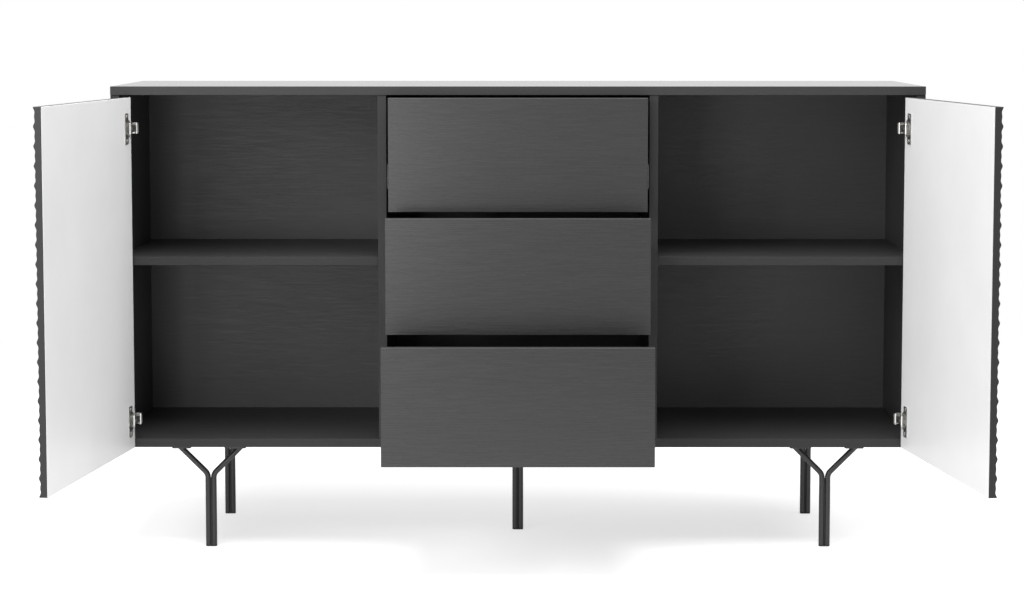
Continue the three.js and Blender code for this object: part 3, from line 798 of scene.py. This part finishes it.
@dataclass
class Hinge:
    """A concealed hinge, drawn closed on the left at height zero: arm, link and cup."""

    side: Side
    level: Level
    height: float
    door_opening: Matrix
    side_inner: float = -734 * MM
    arm_pin: tuple[float, float] = (-703.4 * MM, -195.9 * MM)
    cup_pin: tuple[float, float] = (-730.5 * MM, -198.5 * MM)
    link_swing: float = math.radians(68)
    knuckle_radius: float = 2.7 * MM
    ear_inner: float = 8.5 * MM
    ear_outer: float = 10 * MM
    pin_radius: float = 1.3 * MM
    rivet_height: float = 0.5 * MM
    rivet_rim: float = 0.5 * MM
    rivet_tip_share: float = 0.5
    pin_sides: int = 20
    link_half_height: float = 8.2 * MM
    link_waist_half_height: float = 6.6 * MM
    link_thickness: float = 2.4 * MM
    rib_rise: float = 0.5 * MM
    rib_half_height: float = 2.6 * MM
    rib_span_shares: tuple[float, float] = (0.2, 0.8)
    rib_slope_share: float = 0.03
    seat_gap: float = 0.2 * MM
    arm_face: float = -720.8 * MM
    nose_front: float = -191.7 * MM
    nose_depth: float = 7 * MM
    arm_rear: float = -135.7 * MM
    nose_step: float = 4 * MM
    nose_slope: float = 6 * MM
    channel_corner: float = 1.6 * MM
    # The screws that set the door's gap and depth: where each lies in depth, and its radius
    adjusters: tuple[tuple[float, float], ...] = ((-178 * MM, 3.2 * MM), (-152 * MM, 3.8 * MM))
    adjuster_height: float = 1.1 * MM
    arris: float = 0.3 * MM
    knuckle_sides: int = 24
    plate_thickness: float = 2.5 * MM
    plate_front: float = -176.5 * MM
    plate_depth: float = 30 * MM
    plate_half_height: float = 24 * MM
    plate_screw_reach: float = 16 * MM
    plate_waist: float = 5 * MM
    plate_shoulder: float = 3 * MM
    plate_corner: float = 3 * MM
    door_back: float = -202 * MM
    cup_centre: float = -726.5 * MM
    cup_radius: float = 17.5 * MM
    cup_wall: float = 1.6 * MM
    cup_sides: int = 48
    cup_foot: float = 2 * MM
    cup_foot_share: float = 0.4
    cup_lip: float = 0.4 * MM
    cup_lip_drop: float = 0.3 * MM
    cup_mouth_drop: float = 0.5 * MM
    cup_floor_bend: float = 1.5 * MM
    cup_floor_share: float = 0.2
    cup_depth: float = 10.5 * MM
    flange_gap: float = 0.3 * MM
    flange_thickness: float = 0.9 * MM
    flange_span: tuple[float, float] = (-729.5 * MM, -709.2 * MM)
    flange_screw_line: float = -722 * MM
    flange_half_height: float = 28.5 * MM
    flange_screw_reach: float = 22.5 * MM
    flange_screw_height: float = 1.2 * MM
    flange_corner: float = 4 * MM

    @property
    def name(self) -> str:
        """The start of the hinge's node names."""
        return f"{self.side.word}_{self.level.value}_hinge"

    @property
    def mounting(self) -> Matrix:
        """The move from where the hinge is drawn to its side and height."""
        flip = Matrix.Rotation(math.pi if self.side is Side.RIGHT else 0, 4, "Y")
        return moved(0, 0, self.height) @ flip

    @property
    def swung_link(self) -> Matrix:
        """The move that swings the link out on the arm's pin."""
        return turned(self.link_swing, "Z", Vector((*self.arm_pin, 0)))

    def build(self) -> None:
        """Make the hinge's arm, link and cup."""
        side = self.side.word
        self.place("arm", self.arm(), self.mounting, "carcass")
        self.place("link", self.link(), self.mounting @ self.swung_link, f"{side}_hinge_links")
        self.place("cup", self.cup(), self.mounting @ self.left_opening, f"{side}_door")

    @property
    def left_opening(self) -> Matrix:
        """The door's opening move as the left door makes it."""
        if self.side is Side.LEFT:
            return self.door_opening
        flip = Matrix.Rotation(math.pi, 4, "Y")
        return flip @ self.door_opening @ flip

    def place(self, part: str, mesh: BMesh, frame: Matrix, body: str) -> None:
        """Turn a mesh into one of the hinge's pieces.

        Args:
            part: Which of the hinge's parts it is.
            mesh: Its mesh, drawn closed on the left.
            frame: Where it goes.
            body: CAD body that carries it.
        """
        piece = new_piece(f"{self.name}_{part}_pressed", mesh, NICKEL, SCREW_STEEL, place=frame)
        ease_arrises(piece, self.arris)
        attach(piece, body)
        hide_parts(f"{self.name}_{part}")

    def arm(self) -> BMesh:
        """Press the arm: a channel on a wing plate, with its adjusting screws, ears and pin.

        Returns:
            The arm's mesh.
        """
        mesh = bmesh.new()
        seat = self.side_inner + self.seat_gap
        nose = self.arm_pin[0] + self.knuckle_radius
        nose_rear = self.nose_front + self.nose_depth
        profile = [
            (seat, self.plate_front), (self.arm_face, self.nose_front),
            (nose, self.nose_front), (nose, nose_rear),
            (self.arm_face + self.nose_step, nose_rear), (self.arm_face, nose_rear + self.nose_slope),
            (self.arm_face, self.arm_rear), (seat, self.arm_rear),
        ]
        channel = rounded(profile, self.channel_corner, steps=4)
        add_prism(mesh, channel, (-self.ear_outer, self.ear_outer))
        self.add_wing_plate(mesh, seat)
        for depth, radius in self.adjusters:
            screw = Screw(radius=radius, height=self.adjuster_height)
            screw.add(mesh, seated((self.arm_face, depth, 0), 90, "Y"))
        self.add_knuckle(mesh, self.arm_pin, nose_rear)
        return mesh

    def add_wing_plate(self, mesh: BMesh, seat: float) -> None:
        """Add the plate that is screwed to the side panel, and its two screws.

        Args:
            mesh: Mesh that takes the plate.
            seat: Where the plate lies on the side panel.
        """
        front, rear = self.plate_front, self.plate_front + self.plate_depth
        near, far = front + self.plate_waist, rear - self.plate_waist
        half = self.plate_half_height
        shoulder = self.ear_outer + self.plate_shoulder
        outline = [
            (front, -shoulder), (near, -half), (far, -half), (rear, -shoulder),
            (rear, shoulder), (far, half), (near, half), (front, shoulder),
        ]
        outwards = moved(seat, 0, 0) @ OUT_ALONG_X
        add_prism(mesh, rounded(outline, self.plate_corner), (0, self.plate_thickness), outwards)
        for sign in (-1, 1):
            place = (seat + self.plate_thickness, (front + rear) / 2, sign * self.plate_screw_reach)
            Screw().add(mesh, seated(place, 90, "Y"))

    def add_knuckle(self, mesh: BMesh, centre: tuple[float, float], root: float) -> None:
        """Add two ears and the pin that they hold, which is riveted at both ends.

        Args:
            mesh: Mesh that takes them.
            centre: Where the pin stands.
            root: Depth of the sheet from which the ears rise.
        """
        across = (centre[0] - self.knuckle_radius, centre[0] + self.knuckle_radius)
        cheek = rectangle(across, (min(root, centre[1]), max(root, centre[1])))
        for ear in ((self.ear_inner, self.ear_outer), (-self.ear_outer, -self.ear_inner)):
            add_prism(mesh, circle(self.knuckle_radius, self.knuckle_sides, centre), ear)
            add_prism(mesh, cheek, ear)
        end = self.ear_outer
        rim = end + self.rivet_height / 2
        tip = end + self.rivet_height
        point = self.pin_radius * self.rivet_tip_share
        head = self.pin_radius + self.rivet_rim
        profile = [
            (point, -tip), (head, -rim), (head, -end), (self.pin_radius, -end),
            (self.pin_radius, end), (head, end), (head, rim), (point, tip),
        ]
        add_lathe(mesh, profile, moved(*centre, 0), self.pin_sides)

    def link(self) -> BMesh:
        """Press the link: a plate rolled round both pins, with a stiffening rib along its middle.

        Returns:
            The link's mesh.
        """
        mesh = bmesh.new()
        start, end = Vector(self.arm_pin), Vector(self.cup_pin)
        run = end - start
        across = Vector((-run.y, run.x)).normalized() * (self.link_thickness / 2)
        span = (-self.link_half_height, self.link_half_height)
        corners = [start + across, end + across, end - across, start - across]
        waist = (-self.link_waist_half_height, self.link_waist_half_height)
        add_prism(mesh, [tuple(corner) for corner in corners], waist)
        for place in (start, end):
            add_prism(mesh, circle(self.knuckle_radius, self.knuckle_sides, tuple(place)), span)
        top = across + across.normalized() * self.rib_rise
        slope = run * self.rib_slope_share
        near, far = (start + run * share for share in self.rib_span_shares)
        rib = [near + across, far + across, far + top - slope, near + top + slope]
        half = self.rib_half_height
        add_prism(mesh, [tuple(corner) for corner in rib], (-half, half))
        return mesh

    def cup(self) -> BMesh:
        """Press the cup: bowl, butterfly flange, its screws, ears and pin.

        Returns:
            The cup's mesh.
        """
        mesh = bmesh.new()
        face = self.door_back + self.flange_gap
        rim = face + self.flange_thickness
        bottom = self.door_back - self.cup_depth
        inner = self.cup_radius - self.cup_wall
        floor = bottom + self.cup_wall
        outer, foot, lip, bend = self.cup_radius, self.cup_foot, self.cup_lip, self.cup_floor_bend
        bowl = [
            (outer * self.cup_foot_share, bottom), (outer - foot, bottom), (outer, bottom + foot),
            (outer, rim - self.cup_lip_drop), (outer - lip, rim), (inner + lip, rim),
            (inner, rim - self.cup_mouth_drop), (inner, floor + bend), (inner - bend, floor),
            (inner * self.cup_floor_share, floor),
        ]
        add_lathe(mesh, bowl, seated((self.cup_centre, 0, 0), -90, "X"), self.cup_sides)
        self.add_flange(mesh, face, rim)
        self.add_knuckle(mesh, self.cup_pin, floor)
        return mesh

    def add_flange(self, mesh: BMesh, face: float, rim: float) -> None:
        """Add the cup's two wings and the screws through them.

        Args:
            mesh: Mesh that takes the flange.
            face: The flange's side towards the door.
            rim: Its other side.
        """
        left, right = self.flange_span
        mouth = self.cup_radius - self.cup_wall
        heel, foot = (math.sqrt(max(0, mouth**2 - (end - self.cup_centre) ** 2)) for end in (left, right))
        half = self.flange_half_height
        screw = Screw(height=self.flange_screw_height)
        for sign in (-1, 1):
            wing = [(left, sign * heel), (right, sign * foot), (right, sign * half), (left, sign * half)]
            add_prism(mesh, rounded(wing, self.flange_corner), (face, rim), OUT_ALONG_Y)
            place = (self.flange_screw_line, rim, sign * self.flange_screw_reach)
            screw.add(mesh, seated(place, -90, "X"))


# Legs


@dataclass
class Leg:
    """A leg of two round rods, welded side by side under a pair of plates or one wide plate."""

    name: str
    centre: Vector
    bent: bool
    rod_radius: float = 5.2 * MM
    rod_offset: float = 5.4 * MM
    foot: float = 3.2 * MM
    bend_height: float = 138 * MM
    bend_radius: float = 18 * MM
    bend_angle: float = math.radians(45)
    bend_steps: int = 12
    plate_low: float = 191 * MM
    plate_high: float = 195.8 * MM
    plate_half_length: float = 30 * MM
    plate_corner: float = 5 * MM
    outer_plate: tuple[float, float] = (33.75 * MM, 68.75 * MM)
    centre_plate: tuple[float, float] = (-42 * MM, 42 * MM)
    seam_half_width: float = 1.2 * MM
    seam_half_depth: float = 1.8 * MM
    seam_low_gap: float = 0.8 * MM
    seam_high_gap: float = 8 * MM
    ripple: float = 3 * MM
    trough_share: float = 0.82
    bead: float = 1.3 * MM
    bead_swell: float = 0.12
    bead_beat: float = 5
    bead_sides: int = 8
    sides: int = 32
    arris: float = 0.5 * MM
    screw_inset: float = 8 * MM
    screw: Screw = Screw(radius=3.8 * MM, height=1.4 * MM)

    def build(self) -> None:
        """Make the leg in its powder coat."""
        mesh = bmesh.new()
        for outward in (-1, 1):
            self.add_rod(mesh, outward)
        self.add_seam(mesh)
        plates = [self.centre_plate]
        if self.bent:
            low, high = self.outer_plate
            plates = [(low, high), (-high, -low)]
        for plate in plates:
            self.add_plate(mesh, plate)
        piece = new_piece(f"{self.name}_rods", mesh, BLACK_POWDER, place=Matrix.Translation(self.centre))
        ease_arrises(piece, self.arris)
        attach(piece, "carcass")
        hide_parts(self.name)

    def path(self, outward: int) -> list[Vector]:
        """The middle line of a rod, up to the middle of its plate.

        Args:
            outward: Which way the rod bends, minus one or one.

        Returns:
            Its stations from the foot up.
        """
        head = (self.plate_low + self.plate_high) / 2
        stations = [Vector((outward * self.rod_offset, 0, self.foot))]
        if not self.bent:
            return [*stations, Vector((outward * self.rod_offset, 0, head))]
        start = self.bend_height - self.bend_radius * math.tan(self.bend_angle / 2)
        for step in range(self.bend_steps + 1):
            angle = self.bend_angle * step / self.bend_steps
            across = self.rod_offset + self.bend_radius * (1 - math.cos(angle))
            stations.append(Vector((outward * across, 0, start + self.bend_radius * math.sin(angle))))
        run = (head - self.bend_height) * math.tan(self.bend_angle)
        return [*stations, Vector((outward * (self.rod_offset + run), 0, head))]

    def add_rod(self, mesh: BMesh, outward: int) -> None:
        """Sweep a rod along its path, sawn off level at both ends, and weld it to its plate.

        Args:
            mesh: Mesh that takes the rod.
            outward: Which way the rod bends.
        """
        path = self.path(outward)
        rings = []
        for index, station in enumerate(path):
            before, after = path[max(0, index - 1)], path[min(len(path) - 1, index + 1)]
            ahead = (after - before).normalized()
            across = Vector((0, 1, 0)).cross(ahead)
            ring = [station + across * x + Vector((0, y, 0)) for x, y in circle(self.rod_radius, self.sides)]
            if index in (0, len(path) - 1):
                ring = [point + ahead * ((station.z - point.z) / ahead.z) for point in ring]
            rings.append(ring)
        add_rings(mesh, rings)
        self.add_bead(mesh, path[-2], path[-1])

    def add_bead(self, mesh: BMesh, below: Vector, head: Vector) -> None:
        """Run a weld bead round a rod where it meets the plate.

        Args:
            mesh: Mesh that takes the bead.
            below: A station of the rod under the plate.
            head: The rod's last station.
        """
        ahead = (head - below).normalized()
        centre = head - ahead * ((head.z - self.plate_low) / ahead.z)
        stretch = 1 / ahead.z
        rings = []
        for turn in range(self.sides):
            angle = 2 * math.pi * turn / self.sides
            out = Vector((math.cos(angle) * stretch, math.sin(angle), 0))
            size = self.bead * (1 + self.bead_swell * math.sin(turn * self.bead_beat))
            loop = circle(size, self.bead_sides)
            rings.append([centre + out * (self.rod_radius + x) + Vector((0, 0, z)) for x, z in loop])
        add_rings(mesh, rings, closed=True)

    def add_seam(self, mesh: BMesh) -> None:
        """Run the rippled weld seam between the two rods.

        Args:
            mesh: Mesh that takes the seam.
        """
        low = self.foot + self.seam_low_gap
        high = (self.bend_height if self.bent else self.plate_low) - self.seam_high_gap
        count = round((high - low) / self.ripple) * 2
        rings = []
        for step in range(count + 1):
            share = self.trough_share if step % 2 else 1.0
            width, depth = self.seam_half_width, self.seam_half_depth * share
            height = low + (high - low) * step / count
            rings.append([Vector((x, y, height)) for x, y in rectangle((-width, width), (-depth, depth))])
        add_rings(mesh, rings)

    def add_plate(self, mesh: BMesh, span: tuple[float, float]) -> None:
        """Add a screw plate with round corners and the heads of its screws.

        Args:
            mesh: Mesh that takes the plate.
            span: Its two ends along x.
        """
        low, high = span
        half = self.plate_half_length
        outline = rounded(rectangle(span, (-half, half)), self.plate_corner)
        add_prism(mesh, outline, (self.plate_low, self.plate_high))
        inset = self.screw_inset
        across = [(low + high) / 2] if self.bent else [low + inset, high - inset]
        for x in across:
            for y in (inset - half, half - inset):
                self.screw.add(mesh, seated((x, y, self.plate_low), 180, "X"), finish=0)


# Slides


class Rail(Enum):
    """The three nested rails of a ball slide, from the cabinet to the drawer."""

    CABINET = "cabinet"
    MIDDLE = "middle"
    DRAWER = "drawer"

    def body(self, drawer: Drawer) -> str:
        """Name the CAD body that carries the rail."""
        if self is Rail.CABINET:
            return "carcass"
        if self is Rail.MIDDLE:
            return f"{drawer.value}_middle_rails"
        return f"{drawer.value}_drawer"


@dataclass
class Slide:
    """A full-extension slide of three rolled channels, with stamped holes and the screws that hold it."""

    drawer: Drawer
    side: Side
    sheet: float = 1.2 * MM
    bend: float = 2.2 * MM
    hole_radius: float = 2.3 * MM
    slot_radius: float = 2.2 * MM
    slot_length: float = 10 * MM
    hole_shares: tuple[float, ...] = (0.1, 0.47, 0.86)
    upright_slots: tuple[float, ...] = (0.2, 0.64)
    level_slots: tuple[float, ...] = (0.33, 0.76)
    screw_shares: tuple[float, ...] = (0.04, 0.54, 0.93)
    hole_sides: int = 20
    end_share: float = 0.98
    screw: Screw = Screw()

    def build(self) -> None:
        """Roll the three rails."""
        for rail in Rail:
            self.build_rail(rail)

    def build_rail(self, rail: Rail) -> None:
        """Roll one rail in the space of its CAD node, stamp it and add its screws.

        Args:
            rail: Which rail it is.
        """
        node = f"{self.drawer.value}_{self.side.word}_slide_{rail.value}_rail"
        low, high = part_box(node)
        size = high - low
        frame = self.web_frame(rail, low, high)
        mesh = bmesh.new()
        add_prism(mesh, self.section(size), (0, size.y), frame)
        piece = new_piece(f"{node}_rolled", mesh, ZINC, SCREW_STEEL)
        bore(piece, self.stamps(size.y, frame))
        if rail is not Rail.MIDDLE:
            self.add_screws(piece, size.y, frame)
        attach(piece, rail.body(self.drawer))
        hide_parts(node)

    def web_frame(self, rail: Rail, low: Vector, high: Vector) -> Matrix:
        """Place a rail's own axes: out of its web, up, and along it from its front end.

        Args:
            rail: Which rail it is.
            low: Lowest corner of its CAD node.
            high: Highest corner.

        Returns:
            The frame, which stands on the back of the web, halfway up the front end.
        """
        inwards = -self.side.value
        towards = -inwards if rail is Rail.DRAWER else inwards
        web = low.x if towards > 0 else high.x
        middle = (low.z + high.z) / 2
        return Matrix(((towards, 0, 0, web), (0, 0, 1, low.y), (0, 1, 0, middle), (0, 0, 0, 1)))

    def section(self, size: Vector) -> Outline:
        """Draw the channel's section, with rolled bends.

        Args:
            size: Size of the rail's CAD node.

        Returns:
            The section, out of the web and up.
        """
        half = size.z / 2
        inside = half - self.sheet
        corners = [
            (0, -half), (size.x, -half), (size.x, -inside), (self.sheet, -inside),
            (self.sheet, inside), (size.x, inside), (size.x, half), (0, half),
        ]
        return rounded(corners, self.bend, steps=4)

    def stamps(self, length: float, frame: Matrix) -> BMesh:
        """Gather the holes and slots that are stamped through the web.

        Args:
            length: Length of the rail.
            frame: The rail's own axes.

        Returns:
            The cutters of all the holes.
        """
        holes = [circle(self.hole_radius, self.hole_sides, (0, share * length)) for share in self.hole_shares]
        holes += [self.slot(share * length, upright=True) for share in self.upright_slots]
        holes += [self.slot(share * length, upright=False) for share in self.level_slots]
        through_web = frame @ OUT_ALONG_X
        cutter = bmesh.new()
        for hole in holes:
            add_prism(cutter, hole, (-self.sheet, 2 * self.sheet), through_web)
        return cutter

    def slot(self, place: float, upright: bool) -> Outline:
        """Draw a slot with round ends in the web, as height and place along the rail.

        Args:
            place: Where its middle lies along the rail.
            upright: Whether it stands across the rail.

        Returns:
            The slot's outline.
        """
        reach, half = self.slot_length / 2, self.slot_radius
        tall, wide = (reach, half) if upright else (half, reach)
        return rounded(rectangle((-tall, tall), (place - wide, place + wide)), half * self.end_share)

    def add_screws(self, piece: Object, length: float, frame: Matrix) -> None:
        """Seat the screw heads on the web, inside the channel.

        Args:
            piece: The rail.
            length: Its length.
            frame: Its own axes.
        """
        mesh = bmesh.new()
        mesh.from_mesh(piece.data)
        for share in self.screw_shares:
            self.screw.add(mesh, frame @ seated((self.sheet, 0, share * length), 90, "Y"))
        mesh.to_mesh(piece.data)
        mesh.free()


# Carcass and drawers, whose CAD solids carry the looks


@dataclass
class DressedNodes:
    """CAD nodes that stay as they are and get a finish and rounded arrises."""

    names: tuple[str, ...]
    finish: Finish
    arris: float

    def build(self, nodes: dict[str, Object]) -> None:
        """Dress the nodes.

        Args:
            nodes: The frame's nodes by name.
        """
        for name in self.names:
            node = nodes[name]
            node.data.materials.clear()
            node.data.materials.append(self.finish.material)
            ease_arrises(node, self.arris)
            LOG.info("dressed %s in %s", name, self.finish.title)


def named(members: type[Enum], *patterns: str) -> tuple[str, ...]:
    """Fill the name of each member into each pattern."""
    return tuple(pattern.format(member.name.lower()) for pattern in patterns for member in members)


# Studio


@dataclass(frozen=True)
class SoftBox:
    """A square softbox turned towards the sideboard."""

    name: str
    place: tuple[float, float, float]
    size: float
    power: float
    aim: tuple[float, float, float] = (0.0, -0.2, 0.5)

    def hang(self) -> None:
        """Hang the softbox in the scene."""
        data = bpy.data.lights.new(self.name, "AREA")
        data.shape = "SQUARE"
        data.size = self.size
        data.energy = self.power
        lamp = add_object(self.name, data)
        lamp.location = self.place
        way = Vector(self.aim) - Vector(self.place)
        lamp.rotation_euler = way.to_track_quat("-Z", "Y").to_euler()


@dataclass
class Studio:
    """Plain soft light, a white room and the photograph's viewpoint."""

    camera_place: tuple[float, float, float] = (-2.05 * MM, -4788.31 * MM, 992.98 * MM)
    camera_pitch: float = math.radians(5.0167)
    camera_yaw: float = math.radians(0.1099)
    lens: float = 87.598
    sensor_width: float = 36
    clip_end: float = 200
    # The photograph's upright edges are parallel; this much of its shift still frames the other views
    shift: float = -0.07
    ambient: float = 0.34
    floor_half: float = 30.0
    floor_white: str = "#E1E1E1"
    floor_glow: float = 0.62
    floor_fade: tuple[float, float] = (1.5, 3.2)
    lamps: tuple[SoftBox, ...] = (
        SoftBox("key", (-1.8, -2.2, 1.7), 1.2, 39.0),
        SoftBox("front_gloss", (-1.0, -3.4, 0.55), 0.8, 18.5),
        SoftBox("overhead", (0.0, -1.0, 3.0), 2.0, 76.0),
        SoftBox("right_side", (2.6, -0.5, 2.4), 1.4, 40.0),
    )

    def build(self) -> None:
        """Set up camera, light and floor."""
        scene = bpy.context.scene
        scene.view_settings.view_transform = "Standard"
        self.add_camera()
        self.add_world()
        self.add_floor()
        for lamp in self.lamps:
            lamp.hang()

    def add_camera(self) -> None:
        """Stand the camera where the photograph was taken."""
        data = bpy.data.cameras.new("camera")
        data.sensor_width = self.sensor_width
        data.lens = self.lens
        data.shift_y = self.shift
        data.clip_end = self.clip_end
        camera = add_object("camera", data)
        camera.location = self.camera_place
        camera.rotation_euler = (math.radians(90) - self.camera_pitch, 0, self.camera_yaw)
        bpy.context.scene.camera = camera

    def seen_share(self, tree: NodeTree) -> NodeSocket:
        """Find rays that look at the room, straight, in a gloss or through a clear piece.

        Args:
            tree: Node tree that takes the test.

        Returns:
            One for such a ray, and zero for a ray that only carries light.
        """
        path = add_node(tree, "ShaderNodeLightPath")
        share = path.outputs["Is Camera Ray"]
        for name in ("Is Glossy Ray", "Is Transmission Ray"):
            pair = {0: share, 1: path.outputs[name]}
            share = add_node(tree, "ShaderNodeMath", {"operation": "MAXIMUM"}, pair).outputs[0]
        return share

    def add_world(self) -> None:
        """Light the room evenly, and show it white."""
        world = bpy.data.worlds.new("white_room")
        bpy.context.scene.world = world
        world.use_nodes = True
        tree = world.node_tree
        span = {"Value": self.seen_share(tree), "To Min": self.ambient, "To Max": 1.0}
        strength = add_node(tree, "ShaderNodeMapRange", inputs=span).outputs[0]
        fill(tree, tree.nodes["Background"], {"Color": (1, 1, 1, 1), "Strength": strength})

    def add_floor(self) -> None:
        """Lay a white floor that keeps the shadow near the sideboard and fades to plain white."""
        mesh = bmesh.new()
        span = (-self.floor_half, self.floor_half)
        mesh.faces.new([mesh.verts.new((x, y, 0)) for x, y in rectangle(span, span)])
        data = bpy.data.meshes.new("floor")
        mesh.to_mesh(data)
        mesh.free()
        data.materials.append(self.floor_material())
        add_object("floor", data)

    def floor_material(self) -> Material:
        """Make the floor's paint.

        Returns:
            A white paint that glows a little for the eye, and is plain white further out.
        """
        material = bpy.data.materials.new("white_studio_floor")
        material.use_nodes = True
        tree = material.node_tree
        tree.nodes.remove(tree.nodes["Principled BSDF"])
        paint = add_node(tree, "ShaderNodeBsdfDiffuse", inputs={"Color": linear_color(self.floor_white)})
        glow = add_node(tree, "ShaderNodeEmission", inputs={"Strength": self.floor_glow})
        near = add_node(tree, "ShaderNodeAddShader", inputs={0: paint.outputs[0], 1: glow.outputs[0]})
        white = add_node(tree, "ShaderNodeEmission", inputs={"Strength": 1.0})
        place = add_node(tree, "ShaderNodeTexCoord")
        from_middle = {0: place.outputs["Object"]}
        distance = add_node(tree, "ShaderNodeVectorMath", {"operation": "LENGTH"}, from_middle)
        near_end, far_end = self.floor_fade
        fade_inputs = {"Value": distance.outputs["Value"], "From Min": near_end, "From Max": far_end}
        fade = add_node(tree, "ShaderNodeMapRange", {"interpolation_type": "SMOOTHSTEP"}, fade_inputs)
        far = {0: fade.outputs[0], 1: near.outputs[0], 2: white.outputs[0]}
        seen = add_node(tree, "ShaderNodeMixShader", inputs=far)
        lit_or_seen = {0: self.seen_share(tree), 1: paint.outputs[0], 2: seen.outputs[0]}
        whole = add_node(tree, "ShaderNodeMixShader", inputs=lit_or_seen)
        fill(tree, tree.nodes["Material Output"], {"Surface": whole.outputs[0]})
        return material


# The whole


def joint_place(joints: list[dict], name: str) -> Vector:
    """Find where a joint's axis stands.

    Args:
        joints: The frame's joints.
        name: Name of the joint.

    Returns:
        The joint's origin.
    """
    joint = next(joint for joint in joints if joint["name"] == name)
    return Vector(joint["pos_m"])


def dress_carcass(nodes: dict[str, Object]) -> None:
    """Dress the boards, the back, the drawers and the glides.

    Args:
        nodes: The frame's nodes by name.
    """
    glides = tuple(name for name in nodes if name.endswith("_glide"))
    groups = [
        DressedNodes(("top_board",), TOP_BOARD, 0.6 * MM),
        DressedNodes(("bottom_board", *named(Side, "{}_shelf")), LENGTHWISE_BOARD, 0.6 * MM),
        DressedNodes(named(Side, "{}_side_panel", "{}_divider"), UPRIGHT_BOARD, 0.6 * MM),
        DressedNodes(("back_panel",), PANEL_FOIL, 0.3 * MM),
        DressedNodes(named(Drawer, "{}_drawer_front"), FRONT_BOARD, 0.8 * MM),
        DressedNodes(named(Drawer, "{}_drawer_surround"), BOX_FOIL, 0.8 * MM),
        DressedNodes(named(Drawer, "{}_drawer_bottom"), PANEL_FOIL, 0.3 * MM),
        DressedNodes(glides, GLIDE_NYLON, 0.3 * MM),
    ]
    for group in groups:
        group.build(nodes)


def build_doors(joints: list[dict]) -> None:
    """Build both doors and their hinges.

    Args:
        joints: The frame's joints.
    """
    for side in Side:
        door = Door(side, joint_place(joints, f"{side.word}_door_swing"))
        door.build()
        for level, height in zip(Level, door.cup_heights):
            Hinge(side, level, height, door.opening).build()


def build_slides() -> None:
    """Build a slide on each side of each drawer."""
    for drawer in Drawer:
        for side in Side:
            Slide(drawer, side).build()


def build_legs() -> None:
    """Build the four bent legs and the straight one, each over its glide."""
    for name in ("front_left", "front_right", "back_left", "back_right", "centre"):
        low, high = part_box(f"{name}_glide")
        centre = (low + high) / 2
        Leg(f"{name}_leg", Vector((centre.x, centre.y, 0)), bent=name != "centre").build()


def main() -> None:
    """Load the frame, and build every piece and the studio."""
    logging.basicConfig(level=logging.INFO, format="%(name)s: %(message)s")
    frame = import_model()
    dress_carcass(frame["nodes"])
    build_doors(frame["joints"])
    build_slides()
    build_legs()
    Studio().build()


if __name__ == "__main__":
    main()
